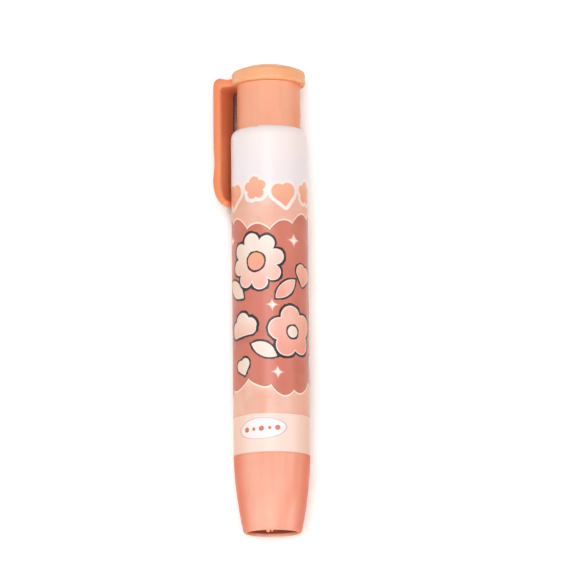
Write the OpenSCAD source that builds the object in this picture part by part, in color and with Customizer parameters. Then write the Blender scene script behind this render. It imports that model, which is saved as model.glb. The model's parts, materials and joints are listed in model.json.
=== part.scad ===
// Push-button eraser stick, lying on its side as it does on a table.
// Each piece is drawn upright: the nose rim at z = 0, the button at the top, the clip towards -x.
// lay() then turns it down, so the pen's axis runs along +Y at its own radius above the table.

/* [Refill] */
// Diameter of the eraser stick
refill_d = 10; // [8:0.5:12]
// Length of a new eraser stick
refill_len = 75; // [60:1:80]
// How far the stick sits back from the nose rim when it is stored
refill_recess = 2.5; // [1:0.1:5]
// Rounding of the stick's two ends
refill_edge = 0.5; // [0.2:0.1:1]

/* [Barrel] */
// Length of the barrel, from its seam with the nose to its open top edge
barrel_len = 68.8; // [64:0.1:85]
// Wall of the barrel around the sliding push tube
barrel_wall = 1.17; // [1.05:0.01:1.8]
// Wall of the barrel around the nose's spigot
socket_wall = 0.8; // [0.6:0.05:0.9]
// How far the shoulder at the barrel's top curves in
shoulder_in = 0.92; // [0.3:0.02:1]
// Length of the shoulder
shoulder_len = 2.3; // [1:0.1:4]
// Thickness of the ledge inside the barrel that carries the spring
ledge_t = 1.6; // [1:0.1:3]
// Thickness of the printed film
film_t = 0.08; // [0.05:0.01:0.2]
// Bare strip between the film and the seam with the nose
film_margin = 0.15; // [0.1:0.05:2]

/* [Nose] */
// Length of the nose that shows, from its rim to the seam
nose_len = 16; // [14:0.1:22]
// How much the nose's radius drops from the seam to the rim
nose_taper = 2; // [1:0.05:2.1]
// Angle at which the nose's side starts to narrow at the seam
nose_lead = 1.8; // [0:0.1:2.4]
// Rounding of the rim's outer edge
rim_round = 0.4; // [0.2:0.05:0.5]
// Bevel of the mouth's edge
mouth_bevel = 0.2; // [0.1:0.05:0.3]
// Bevel of the nose's edge at the seam
seam_bevel = 0.12; // [0.05:0.01:0.3]
// Length of the spigot that plugs into the barrel
spigot_len = 10.4; // [9:0.1:14]
// Bevel at the spigot's end
spigot_bevel = 0.25; // [0.1:0.05:0.4]
// Length of the cone between the chuck's room and the mouth
mouth_cone = 1.2; // [0.8:0.1:1.6]

/* [Friction ring] */
// Distance from the rim to the ring
grip_z = 3; // [2.5:0.1:3.4]
// Length of the ring
grip_len = 2; // [1:0.1:2.4]
// Radial thickness of the ring
grip_t = 0.85; // [0.6:0.05:0.9]

/* [Chuck and clutch ring] */
// Wall of the chuck's neck
chuck_wall = 0.57; // [0.5:0.01:1]
// How much the jaws stand out past the neck
jaw_flare = 0.4; // [0.2:0.05:0.45]
// Length of the jaws' cone, where the clutch ring closes them
jaw_cone = 4.5; // [3.5:0.1:5]
// Length of the jaws below the cone
jaw_tip = 3.4; // [2:0.1:3.6]
// Bevel at the jaws' front edge
jaw_bevel = 0.5; // [0.2:0.1:0.8]
// Width of the slits between the jaws
slit_w = 1; // [0.6:0.1:1.5]
// Length of the slits
slit_len = 16; // [10:1:18]
// Number of grip grooves inside the jaws
grip_grooves = 3; // [1:1:4]
// Depth of a grip groove
groove_deep = 0.2; // [0.1:0.05:0.4]
// Width of a grip groove
groove_w = 0.5; // [0.3:0.1:0.6]
// How far the chuck's shank goes up into the push tube
shank_len = 8; // [5:1:12]
// Length of the clutch ring
ring_len = 4.2; // [3:0.1:5]
// Wall of the clutch ring at its narrow end
ring_wall = 0.63; // [0.6:0.01:0.8]
// Length of the ring's straight bore above the jaws' cone
ring_land = 1.05; // [0.5:0.05:1.5]
// How far the clutch ring travels before it stops
ring_travel = 3; // [1.5:0.1:3.2]

/* [Spring] */
// Diameter of the spring wire
wire_d = 0.7; // [0.4:0.05:0.8]
// Room for the spring between the ledge and the push tube
spring_room = 22; // [18:0.5:24]
// Number of turns
spring_turns = 12; // [8:1:14]

/* [Push button] */
// How far the button can be pressed
knock_travel = 8; // [5:0.5:8.3]
// Length of push tube that shows above the barrel
tube_shown = 10; // [9.5:0.1:14]
// Wall of the push tube
tube_wall = 0.95; // [0.9:0.01:1.4]
// How far the cap's rim stands out past the push tube
rim_over = 1.15; // [0.8:0.05:1.3]
// Thickness of the cap's rim
rim_t = 2.8; // [2.6:0.1:4]
// Height of the cap's crown above its rim
crown_h = 1.6; // [0.8:0.1:2.4]
// Rounding of the rim's edges
cap_edge = 0.35; // [0.1:0.05:0.45]
// Length of the plug inside the push tube
plug_len = 8; // [6:0.5:9]
// Wall of the plug
plug_wall = 1; // [0.8:0.1:1.6]
// Height of the snap beads on the spigot and the plug
bead_h = 0.15; // [0.1:0.01:0.2]
// Width of the snap beads
bead_w = 0.8; // [0.6:0.1:1.2]

/* [Clip] */
// Width of the clip
clip_w = 7; // [5:0.5:8]
// Thickness of the clip's blade
clip_t = 1.9; // [1.5:0.1:2.4]
// Gap between the blade and the barrel
clip_gap = 1.6; // [1.2:0.1:2]
// Height of the clip's top above the underside of the cap's rim
clip_rise = 2.3; // [1.9:0.05:2.8]
// Length from the clip's top to the middle of its swell
clip_reach = 22.3; // [18:0.1:26]
// Length of the hook below the swell
hook_len = 5.5; // [4.5:0.1:7]
// Thickness of the hook's tip along the barrel
hook_tip = 1.3; // [1:0.1:1.6]
// How much the swell stands out past the straight blade
swell = 0.15; // [0.05:0.05:0.4]
// Depth of the waist above the swell
waist = 0.2; // [0.1:0.05:0.4]
// Length of the waist
waist_len = 4; // [3:0.5:6]
// Rounding of the blade's outer top edge
clip_top_round = 1; // [0.4:0.1:1.2]
// Rounding of the blade's corners, seen from outside
clip_corner = 1.2; // [0.5:0.1:2]
// Height of the arm that joins the blade to the cap
arm_h = 1.6; // [1.2:0.1:1.6]
// Length of the slope from the arm's top up to the blade's top
arm_slope = 1; // [0.4:0.1:1.2]
// Fillet below the arm
arm_fillet = 0.6; // [0.3:0.1:1]
// Distance from the cap's edge in to the clip's pivot
pivot_in = 0.7; // [0.5:0.1:0.8]

/* [Clearances] */
// Radial clearance of the push tube in the barrel
slide_fit = 0.1; // [0.05:0.01:0.15]
// Radial clearance of plugs, shanks and the turning cap
plug_fit = 0.05; // [0.02:0.01:0.08]
// Radial clearance around the eraser stick in the chuck and the friction ring
stick_fit = 0.08; // [0.05:0.01:0.1]
// Radial clearance of the stick in the nose's mouth
mouth_fit = 0.25; // [0.15:0.05:0.3]
// Radial clearance of the clutch ring, on the jaws and in its chamber
ring_fit = 0.08; // [0.05:0.01:0.1]
// Radial clearance of the chuck in the ledge and in the nose
chuck_clear = 0.15; // [0.1:0.01:0.2]
// Clearance around the clip's pivot
pivot_fit = 0.12; // [0.1:0.01:0.15]
// End gap between faces that meet
face_gap = 0.05; // [0.02:0.01:0.1]
// Gap between the chuck's jaws and the nose at full travel
stop_gap = 0.3; // [0.2:0.05:0.5]
// Gap between the hook's tip and the barrel
hook_gap = 0.15; // [0.1:0.05:0.3]

/* [Hidden] */
peach = [0.97, 0.66, 0.52];
peach_light = [0.98, 0.71, 0.56];
facets = 120;
arc_steps = 8;
film_steps = 6;
curve_steps = 14;
quarter = 90;
full_turn = 360;
overcut = 1;

// Radii, from the eraser outwards
refill_r = refill_d / 2;
chuck_bore_r = refill_r + stick_fit;
chuck_r = chuck_bore_r + chuck_wall;
tube_bore_r = chuck_r + plug_fit;
tube_r = tube_bore_r + tube_wall;
barrel_bore_r = tube_r + slide_fit;
barrel_r = barrel_bore_r + barrel_wall;
film_r = barrel_r + film_t;
socket_r = barrel_r - socket_wall;
spigot_r = socket_r - plug_fit;
ledge_bore_r = chuck_r + chuck_clear;
jaw_r = chuck_r + jaw_flare;
jaw_room_r = jaw_r + chuck_clear;
ring_r = chuck_r + ring_fit + ring_wall;
ring_room_r = ring_r + ring_fit;
mouth_r = refill_r + mouth_fit;
grip_r = chuck_bore_r + grip_t;
grip_groove_r = grip_r + plug_fit;
plug_r = tube_bore_r - plug_fit;
plug_bore_r = plug_r - plug_wall;
cap_r = tube_r + rim_over;
spring_r = (chuck_r + barrel_bore_r) / 2;

// Heights, from the nose rim upwards
ledge_z = nose_len + spigot_len;
ledge_top = ledge_z + ledge_t;
ring_top = ledge_z - face_gap;
ring_z = ring_top - ring_len;
cone_top = ring_top - ring_land;
cone_z = cone_top - jaw_cone;
jaw_z = cone_z - jaw_tip;
room_z = jaw_z - knock_travel - stop_gap;
ring_stop_z = ring_z - ring_travel - face_gap;
tube_z = ledge_top + spring_room;
barrel_top = nose_len + barrel_len;
cap_z = barrel_top + tube_shown;
tube_top = cap_z - face_gap;
cap_rim_top = cap_z + rim_t;
plug_z = cap_z - plug_len;
spigot_bead_z = nose_len + spigot_len / 2;
plug_bead_z = cap_z - plug_len / 2;

// The clip, with r measured from the pen's axis
blade_in = film_r + clip_gap;
blade_out = blade_in + clip_t;
clip_top = cap_z + clip_rise;
swell_z = clip_top - clip_reach;
hook_z = swell_z - hook_len;
hook_r = film_r + hook_gap;
arm_z = cap_z;
arm_top = arm_z + arm_h;
pivot_r = cap_r - pivot_in;
pivot_z = (arm_z + arm_top) / 2;

// The roll at which the barrel and the clip's outer corner both touch the table
clip_half = clip_w / 2;
swell_out = blade_out + swell;
corner_r = sqrt(pow(swell_out, 2) + pow(clip_half, 2));
rest_roll = asin(film_r / corner_r) - atan(clip_half / swell_out);

module lay() {
    rotate([-quarter, 0, 0]) rotate([0, 0, -rest_roll]) children();
}

module turned(outline) {
    rotate_extrude($fn = facets) polygon(outline);
}

// Points of an arc about [r, z], from one angle to another
function arc(r, z, size, from, to, steps = arc_steps) =
    [for (i = [0:steps]) let (a = from + (to - from) * i / steps) [r + size * cos(a), z + size * sin(a)]];

function reversed(points) = [for (i = [len(points) - 1:-1:0]) points[i]];

// Outline points of a low snap bead on a wall of radius r, centred at z, drawn upwards
function bead(r, z, width, height) =
    [[r, z - width / 2], [r + height, z - width / 4], [r + height, z + width / 4], [r, z + width / 2]];

// The nose's outer curve is one arc, which starts at the seam at its lead angle and ends at the rim
chord_lean = atan(nose_taper / nose_len);
nose_arc = norm([nose_taper, nose_len]) / (2 * sin(chord_lean - nose_lead));
nose_arc_r = film_r - nose_arc * cos(nose_lead);
nose_arc_z = nose_len + nose_arc * sin(nose_lead);
rim_arc_r = nose_arc_r + sqrt(pow(nose_arc - rim_round, 2) - pow(nose_arc_z - rim_round, 2));
rim_angle = -asin((nose_arc_z - rim_round) / (nose_arc - rim_round));
seam_angle = -asin((nose_arc_z - nose_len + seam_bevel) / nose_arc);

module nose_cone() {
    outside = concat(
        arc(rim_arc_r, rim_round, rim_round, -quarter, rim_angle),
        arc(nose_arc_r, nose_arc_z, nose_arc, rim_angle, seam_angle, curve_steps),
        [[film_r - seam_bevel, nose_len], [spigot_r, nose_len]],
        bead(spigot_r, spigot_bead_z, bead_w, bead_h),
        [[spigot_r, ledge_z - face_gap - spigot_bevel], [spigot_r - spigot_bevel, ledge_z - face_gap]]);
    inside = [[ring_room_r, ledge_z - face_gap], [ring_room_r, ring_stop_z], [jaw_room_r, ring_stop_z],
        [jaw_room_r, room_z], [mouth_r, room_z - mouth_cone], [mouth_r, grip_z + grip_len],
        [grip_groove_r, grip_z + grip_len], [grip_groove_r, grip_z], [mouth_r, grip_z],
        [mouth_r, mouth_bevel], [mouth_r + mouth_bevel, 0]];
    color(peach_light) lay() turned(concat(outside, inside));
}

module friction_ring() {
    color("dimgray") lay() turned([[chuck_bore_r, grip_z + face_gap], [grip_r, grip_z + face_gap],
        [grip_r, grip_z + grip_len - face_gap], [chuck_bore_r, grip_z + grip_len - face_gap]]);
}

// The barrel's outer line from a height upwards and some steps round its shoulder, moved out by extra
function barrel_line(low, steps, extra = 0) =
    let (in_r = barrel_r - shoulder_in, start_z = barrel_top - shoulder_len)
    concat([[barrel_r + extra, low]], [for (i = [0:steps]) let (a = quarter * i / arc_steps)
        [in_r + (shoulder_in + extra) * cos(a), start_z + (shoulder_len + extra) * sin(a)]]);

module barrel() {
    outside = barrel_line(nose_len, arc_steps);
    inside = concat([[barrel_bore_r, barrel_top], [barrel_bore_r, ledge_top], [ledge_bore_r, ledge_top],
        [ledge_bore_r, ledge_z], [socket_r, ledge_z]],
        reversed(bead(socket_r, spigot_bead_z, bead_w + plug_fit, bead_h)),
        [[socket_r, nose_len]]);
    color("white") lay() turned(concat(outside, inside));
}

// The film wraps the barrel and most of its shoulder
module printed_film() {
    low = nose_len + film_margin;
    color([0.84, 0.50, 0.43]) lay()
        turned(concat(barrel_line(low, film_steps, film_t), reversed(barrel_line(low, film_steps))));
}

// The spring is one round wire swept along a helix as a closed tube of flat faces
wire_sides = 6;
rings_per_turn = 16;
spring_start = ledge_top + face_gap + wire_d / 2;
spring_end = tube_z - face_gap - wire_d / 2;
spring_rings = spring_turns * rings_per_turn;

// The corners of the wire's ring number i
function wire_ring(i) =
    let (a = full_turn * i / rings_per_turn, z = spring_start + (spring_end - spring_start) * i / spring_rings)
    [for (k = [0:wire_sides - 1]) let (b = full_turn * k / wire_sides, r = spring_r + wire_d / 2 * cos(b))
        [r * cos(a), r * sin(a), z + wire_d / 2 * sin(b)]];

module return_spring() {
    points = [for (i = [0:spring_rings]) each wire_ring(i)];
    sides = [for (i = [0:spring_rings - 1], k = [0:wire_sides - 1])
        let (a = i * wire_sides + k, b = i * wire_sides + (k + 1) % wire_sides)
            each [[a, a + wire_sides, b + wire_sides], [a, b + wire_sides, b]]];
    first = [for (k = [1:wire_sides - 2]) [0, k, k + 1]];
    last = [for (k = [1:wire_sides - 2]) [0, k + 1, k] + spring_rings * wire_sides * [1, 1, 1]];
    color("silver") lay() polyhedron(points, concat(sides, first, last));
}
echo(gap_between_spring_turns = (spring_end - spring_start) / spring_turns - wire_d);

module clutch_ring() {
    narrow = chuck_r + ring_fit;
    wide = narrow + jaw_flare * (cone_top - ring_z) / jaw_cone;
    color("goldenrod") lay()
        turned([[wide, ring_z], [ring_r, ring_z], [ring_r, ring_top], [narrow, ring_top], [narrow, cone_top]]);
}

module chuck() {
    grooves = [for (i = [0:grip_grooves - 1]) let (z = cone_z - groove_w - i * 2 * groove_w)
        each [[chuck_bore_r, z], [chuck_bore_r + groove_deep, z - groove_w / 2], [chuck_bore_r, z - groove_w]]];
    outline = concat([[chuck_bore_r, tube_z + shank_len]], grooves, [[chuck_bore_r, jaw_z],
        [jaw_r - jaw_bevel, jaw_z], [jaw_r, jaw_z + jaw_bevel], [jaw_r, cone_z], [chuck_r, cone_top],
        [chuck_r, tube_z + shank_len]]);
    color("whitesmoke") lay() difference() {
        turned(outline);
        for (a = [0, quarter]) rotate([0, 0, a])
            translate([-jaw_r - overcut, -slit_w / 2, jaw_z - overcut])
                cube([2 * (jaw_r + overcut), slit_w, slit_len + overcut]);
    }
}

module push_tube() {
    inside = concat([[tube_bore_r, tube_top]],
        reversed(bead(tube_bore_r, plug_bead_z, bead_w + plug_fit, bead_h)),
        [[tube_bore_r, tube_z]]);
    color(peach) lay() turned(concat([[tube_r, tube_z], [tube_r, tube_top]], inside));
}

module end_cap() {
    crown_r = (pow(cap_r - cap_edge, 2) + pow(crown_h, 2)) / (2 * crown_h);
    crown_z = cap_rim_top + crown_h - crown_r;
    crown_angle = acos((cap_r - cap_edge) / crown_r);
    outline = concat([[plug_bore_r, plug_z], [plug_r, plug_z]],
        bead(plug_r, plug_bead_z, bead_w, bead_h), [[plug_r, cap_z]],
        arc(cap_r - cap_edge, cap_z + cap_edge, cap_edge, -quarter, 0),
        arc(cap_r - cap_edge, cap_rim_top - cap_edge, cap_edge, 0, quarter),
        arc(0, crown_z, crown_r, crown_angle, quarter, curve_steps),
        [[0, cap_z], [plug_bore_r, cap_z]]);
    color(peach_light) lay() difference() {
        turned(outline);
        clip_seat();
    }
}

// The notch in the cap's rim that holds the clip's round pivot and lets its arm out, open below
module clip_seat() {
    half = clip_half + pivot_fit;
    slot_h = arm_h + 2 * pivot_fit;
    translate([-pivot_r, half, pivot_z]) rotate([quarter, 0, 0])
        cylinder(h = 2 * half, d = slot_h, $fn = facets);
    translate([-pivot_r - pivot_in - overcut, -half, pivot_z - slot_h / 2])
        cube([pivot_in + overcut, 2 * half, slot_h]);
}

// The clip's side view: x is the distance from the pen's axis
function clip_outline() =
    let (waist_out = blade_out - waist, hook_in_len = hook_len - hook_tip, swell_in = blade_in + swell)
    concat(
        [[pivot_r, arm_top], [blade_in - arm_slope, arm_top], [blade_in, clip_top]],
        arc(blade_out - clip_top_round, clip_top - clip_top_round, clip_top_round, quarter, 0),
        [[blade_out, swell_z + 2 * waist_len], [waist_out, swell_z + waist_len]],
        [for (i = [0:curve_steps]) let (a = quarter * i / curve_steps)
            [hook_r + (swell_out - hook_r) * cos(a), swell_z - hook_len * sin(a)]],
        [for (i = [curve_steps:-1:0]) let (a = quarter * i / curve_steps)
            [hook_r + (swell_in - hook_r) * cos(a), swell_z - hook_in_len * sin(a)]],
        [[blade_in, swell_z + 2 * waist_len], [blade_in, arm_z - arm_fillet]],
        arc(blade_in - arm_fillet, arm_z - arm_fillet, arm_fillet, 0, quarter),
        [[pivot_r, arm_z]]);

module clip_side() {
    mirror([1, 0, 0]) rotate([quarter, 0, 0]) linear_extrude(height = clip_w, center = true)
        polygon(clip_outline());
}

// The clip's front view, with rounded corners at both ends
module clip_front() {
    flat_w = clip_w - 2 * clip_corner;
    height = clip_top - hook_z;
    rotate([0, -quarter, 0]) linear_extrude(height = swell_out + overcut) {
        translate([hook_z, -flat_w / 2]) square([height, flat_w]);
        translate([hook_z + clip_corner, -clip_half]) square([height - 2 * clip_corner, clip_w]);
        for (x = [hook_z + clip_corner, clip_top - clip_corner], y = [-1, 1])
            translate([x, y * flat_w / 2]) circle(r = clip_corner, $fn = facets);
    }
}

module pocket_clip() {
    color(peach) lay() union() {
        intersection() {
            clip_side();
            clip_front();
        }
        translate([-pivot_r, clip_half, pivot_z]) rotate([quarter, 0, 0])
            cylinder(h = clip_w, d = arm_h, $fn = facets);
    }
}

module eraser_refill() {
    back = refill_recess + refill_len;
    side = refill_r - refill_edge;
    outline = concat([[0, refill_recess]], arc(side, refill_recess + refill_edge, refill_edge, -quarter, 0),
        arc(side, back - refill_edge, refill_edge, 0, quarter), [[0, back]]);
    color("white") lay() turned(outline);
}

nose_cone();
friction_ring();
barrel();
printed_film();
return_spring();
clutch_ring();
chuck();
push_tube();
end_cap();
pocket_clip();
eraser_refill();
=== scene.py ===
"""Looks of a push-button eraser stick that lies on a pale table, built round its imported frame."""

import json
import logging
import math
from abc import ABC, abstractmethod
from dataclasses import dataclass
from enum import Enum

import bmesh
import bpy
from mathutils import Matrix, Vector

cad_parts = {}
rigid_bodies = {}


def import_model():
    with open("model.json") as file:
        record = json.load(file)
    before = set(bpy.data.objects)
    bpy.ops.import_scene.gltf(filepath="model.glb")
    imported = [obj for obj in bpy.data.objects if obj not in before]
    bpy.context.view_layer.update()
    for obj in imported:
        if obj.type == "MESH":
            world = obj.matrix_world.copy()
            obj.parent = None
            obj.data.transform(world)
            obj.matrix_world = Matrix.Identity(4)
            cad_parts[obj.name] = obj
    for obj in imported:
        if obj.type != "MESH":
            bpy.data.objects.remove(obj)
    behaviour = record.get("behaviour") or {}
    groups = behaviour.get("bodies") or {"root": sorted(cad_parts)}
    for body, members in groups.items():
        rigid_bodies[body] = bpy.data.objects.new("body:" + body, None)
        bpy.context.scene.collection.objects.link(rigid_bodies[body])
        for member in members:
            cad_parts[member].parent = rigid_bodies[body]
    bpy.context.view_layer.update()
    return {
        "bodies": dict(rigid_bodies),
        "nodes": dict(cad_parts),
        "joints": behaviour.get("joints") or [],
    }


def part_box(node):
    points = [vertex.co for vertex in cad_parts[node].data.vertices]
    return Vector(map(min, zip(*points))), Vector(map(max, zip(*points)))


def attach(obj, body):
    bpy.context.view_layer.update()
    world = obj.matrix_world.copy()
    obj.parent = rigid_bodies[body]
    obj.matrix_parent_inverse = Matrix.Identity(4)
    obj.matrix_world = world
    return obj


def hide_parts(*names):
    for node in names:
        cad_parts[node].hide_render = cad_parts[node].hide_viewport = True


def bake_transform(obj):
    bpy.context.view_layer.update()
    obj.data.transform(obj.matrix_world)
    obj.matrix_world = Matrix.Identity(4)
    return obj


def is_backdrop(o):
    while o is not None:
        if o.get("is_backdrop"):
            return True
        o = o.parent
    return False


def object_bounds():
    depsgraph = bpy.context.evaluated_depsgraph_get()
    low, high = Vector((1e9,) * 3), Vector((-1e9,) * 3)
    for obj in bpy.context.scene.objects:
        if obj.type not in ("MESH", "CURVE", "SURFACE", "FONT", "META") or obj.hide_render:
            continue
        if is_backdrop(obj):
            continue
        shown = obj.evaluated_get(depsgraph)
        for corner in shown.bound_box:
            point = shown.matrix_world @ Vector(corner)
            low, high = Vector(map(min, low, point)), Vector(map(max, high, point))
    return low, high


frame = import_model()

LOG = logging.getLogger("eraser_stick")
MM = 0.001
TURN_STEPS = 128
ARC_STEPS = 12
SAME_PLACE = 0.002
SMOOTH_BELOW = math.radians(32.0)
UNRIDDEN = "no body yet"
WHITE = (1.0, 1.0, 1.0, 1.0)
Colour = tuple[float, float, float, float]
Material = bpy.types.Material
BMesh = bmesh.types.BMesh
Node = bpy.types.Node
Socket = bpy.types.NodeSocket
Tree = bpy.types.NodeTree


def shade(red: float, green: float, blue: float) -> Colour:
    """Turn a screen colour into the linear colour that a shader takes.

    Args:
        red: Red as seen on a screen, 0 to 255.
        green: Green, 0 to 255.
        blue: Blue, 0 to 255.

    Returns:
        The linear colour with an alpha of 1.
    """
    def linear(value: float) -> float:
        """Undo the screen's transfer curve for one channel."""
        part = value / 255.0
        return part / 12.92 if part <= 0.04045 else ((part + 0.055) / 1.055) ** 2.4
    return linear(red), linear(green), linear(blue), 1.0


# Node trees

class Graph:
    """A node tree in the making, with short calls for the nodes that the finishes use."""

    def __init__(self, tree: Tree) -> None:
        """Start on the tree of a material, a world or a group."""
        self.tree = tree

    def node(self, kind: str, **settings: object) -> Node:
        """Add a node.

        Args:
            kind: The node's type name.
            settings: Attributes to set on it.

        Returns:
            The new node.
        """
        made = self.tree.nodes.new(kind)
        for name, value in settings.items():
            setattr(made, name, value)
        return made

    def feed(self, socket: Socket, value: object) -> None:
        """Link a socket to another node's output, or set its value.

        Args:
            socket: The input to feed.
            value: An output socket, a number, a colour or None to leave the input alone.
        """
        if isinstance(value, Socket):
            self.tree.links.new(value, socket)
        elif value is not None:
            socket.default_value = value

    def wire(self, node: Node, **values: object) -> Node:
        """Feed a node's inputs by name.

        Args:
            node: The node.
            values: Inputs by name, with underscores for spaces.

        Returns:
            The same node.
        """
        for name, value in values.items():
            self.feed(node.inputs[name.replace("_", " ")], value)
        return node

    def math(self, operation: str, first: object, second: object = None, third: object = None) -> Socket:
        """Work out a value from up to three values.

        Args:
            operation: The Math node's operation.
            first: First value or socket.
            second: Second value or socket.
            third: Third value or socket.

        Returns:
            The result's socket.
        """
        made = self.node("ShaderNodeMath", operation=operation)
        for socket, value in zip(made.inputs, (first, second, third)):
            self.feed(socket, value)
        return made.outputs[0]

    def times(self, first: object, second: object) -> Socket:
        """Product of two values."""
        return self.math("MULTIPLY", first, second)

    def less(self, first: object, second: object) -> Socket:
        """First value less the second."""
        return self.math("SUBTRACT", first, second)

    def least(self, first: object, second: object) -> Socket:
        """Lesser of two values."""
        return self.math("MINIMUM", first, second)

    def length(self, a: object, b: object) -> Socket:
        """Length of a flat vector."""
        return self.math("SQRT", self.math("MULTIPLY_ADD", a, a, self.times(b, b)))

    def xyz(self, place: object) -> bpy.types.bpy_prop_collection:
        """Outputs X, Y and Z of a vector."""
        return self.wire(self.node("ShaderNodeSeparateXYZ"), Vector=place).outputs

    def step(self, value: object, low: object, high: object, start: float = 0.0, end: float = 1.0) -> Socket:
        """Turn a value into a smooth step.

        Args:
            value: The value.
            low: Where the step begins.
            high: Where it ends.
            start: Result below low.
            end: Result above high.

        Returns:
            The step's socket.
        """
        made = self.node("ShaderNodeMapRange", interpolation_type="SMOOTHSTEP")
        for socket, item in zip(made.inputs, (value, low, high, start, end)):
            self.feed(socket, item)
        return made.outputs[0]

    def mix(self, factor: object, first: object, second: object, blend: str = "MIX") -> Socket:
        """Mix two colours.

        Args:
            factor: Share of the second colour.
            first: First colour.
            second: Second colour.
            blend: Blend type.

        Returns:
            The mixed colour's socket.
        """
        made = self.node("ShaderNodeMix", data_type="RGBA", blend_type=blend)
        self.feed(made.inputs["Factor"], factor)
        self.feed(made.inputs[6], first)
        self.feed(made.inputs[7], second)
        return made.outputs[2]

    def noise(self, place: object, scale: object, detail: float = 2.0) -> Socket:
        """Soft noise of about 0.5 on average; the scale is in waves per unit of the coordinates."""
        made = self.node("ShaderNodeTexNoise")
        return self.wire(made, Vector=place, Scale=scale, Detail=detail).outputs["Fac"]

    def patches(self, place: object, scale: object, detail: float, low: float, high: float,
                start: float = 0.0, end: float = 1.0) -> Socket:
        """Noise of a scale and a number of octaves, made patches by a step between two limits."""
        return self.step(self.noise(place, scale, detail), low, high, start, end)

    def stretched(self, place: object, scale: tuple[float, float, float]) -> Socket:
        """Coordinates scaled by axis."""
        return self.wire(self.node("ShaderNodeMapping"), Vector=place, Scale=scale).outputs[0]

    def use(self, group: Tree, **values: object) -> Node:
        """Place a node group and feed its inputs by name, as wire does."""
        return self.wire(self.node("ShaderNodeGroup", node_tree=group), **values)


class Group:
    """A shared effect as a node group: its graph, its inputs and its outputs."""

    KINDS = {"value": "NodeSocketFloat", "colour": "NodeSocketColor", "vector": "NodeSocketVector"}

    def __init__(self, name: str, inputs: dict[str, str], outputs: dict[str, str]) -> None:
        """Make an empty group.

        Args:
            name: The group's name.
            inputs: Kind of each input by name: value, colour or vector.
            outputs: Kind of each output by name.
        """
        self.tree = bpy.data.node_groups.new(name, "ShaderNodeTree")
        for direction, sockets in (("INPUT", inputs), ("OUTPUT", outputs)):
            for label, kind in sockets.items():
                self.tree.interface.new_socket(label, in_out=direction, socket_type=self.KINDS[kind])
        self.graph = Graph(self.tree)
        self.given = self.graph.node("NodeGroupInput").outputs
        self.result = self.graph.node("NodeGroupOutput").inputs

    def done(self, **values: object) -> Tree:
        """Wire the outputs.

        Args:
            values: Value of each output by name.

        Returns:
            The finished group.
        """
        for name, value in values.items():
            self.graph.feed(self.result[name], value)
        return self.tree


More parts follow.
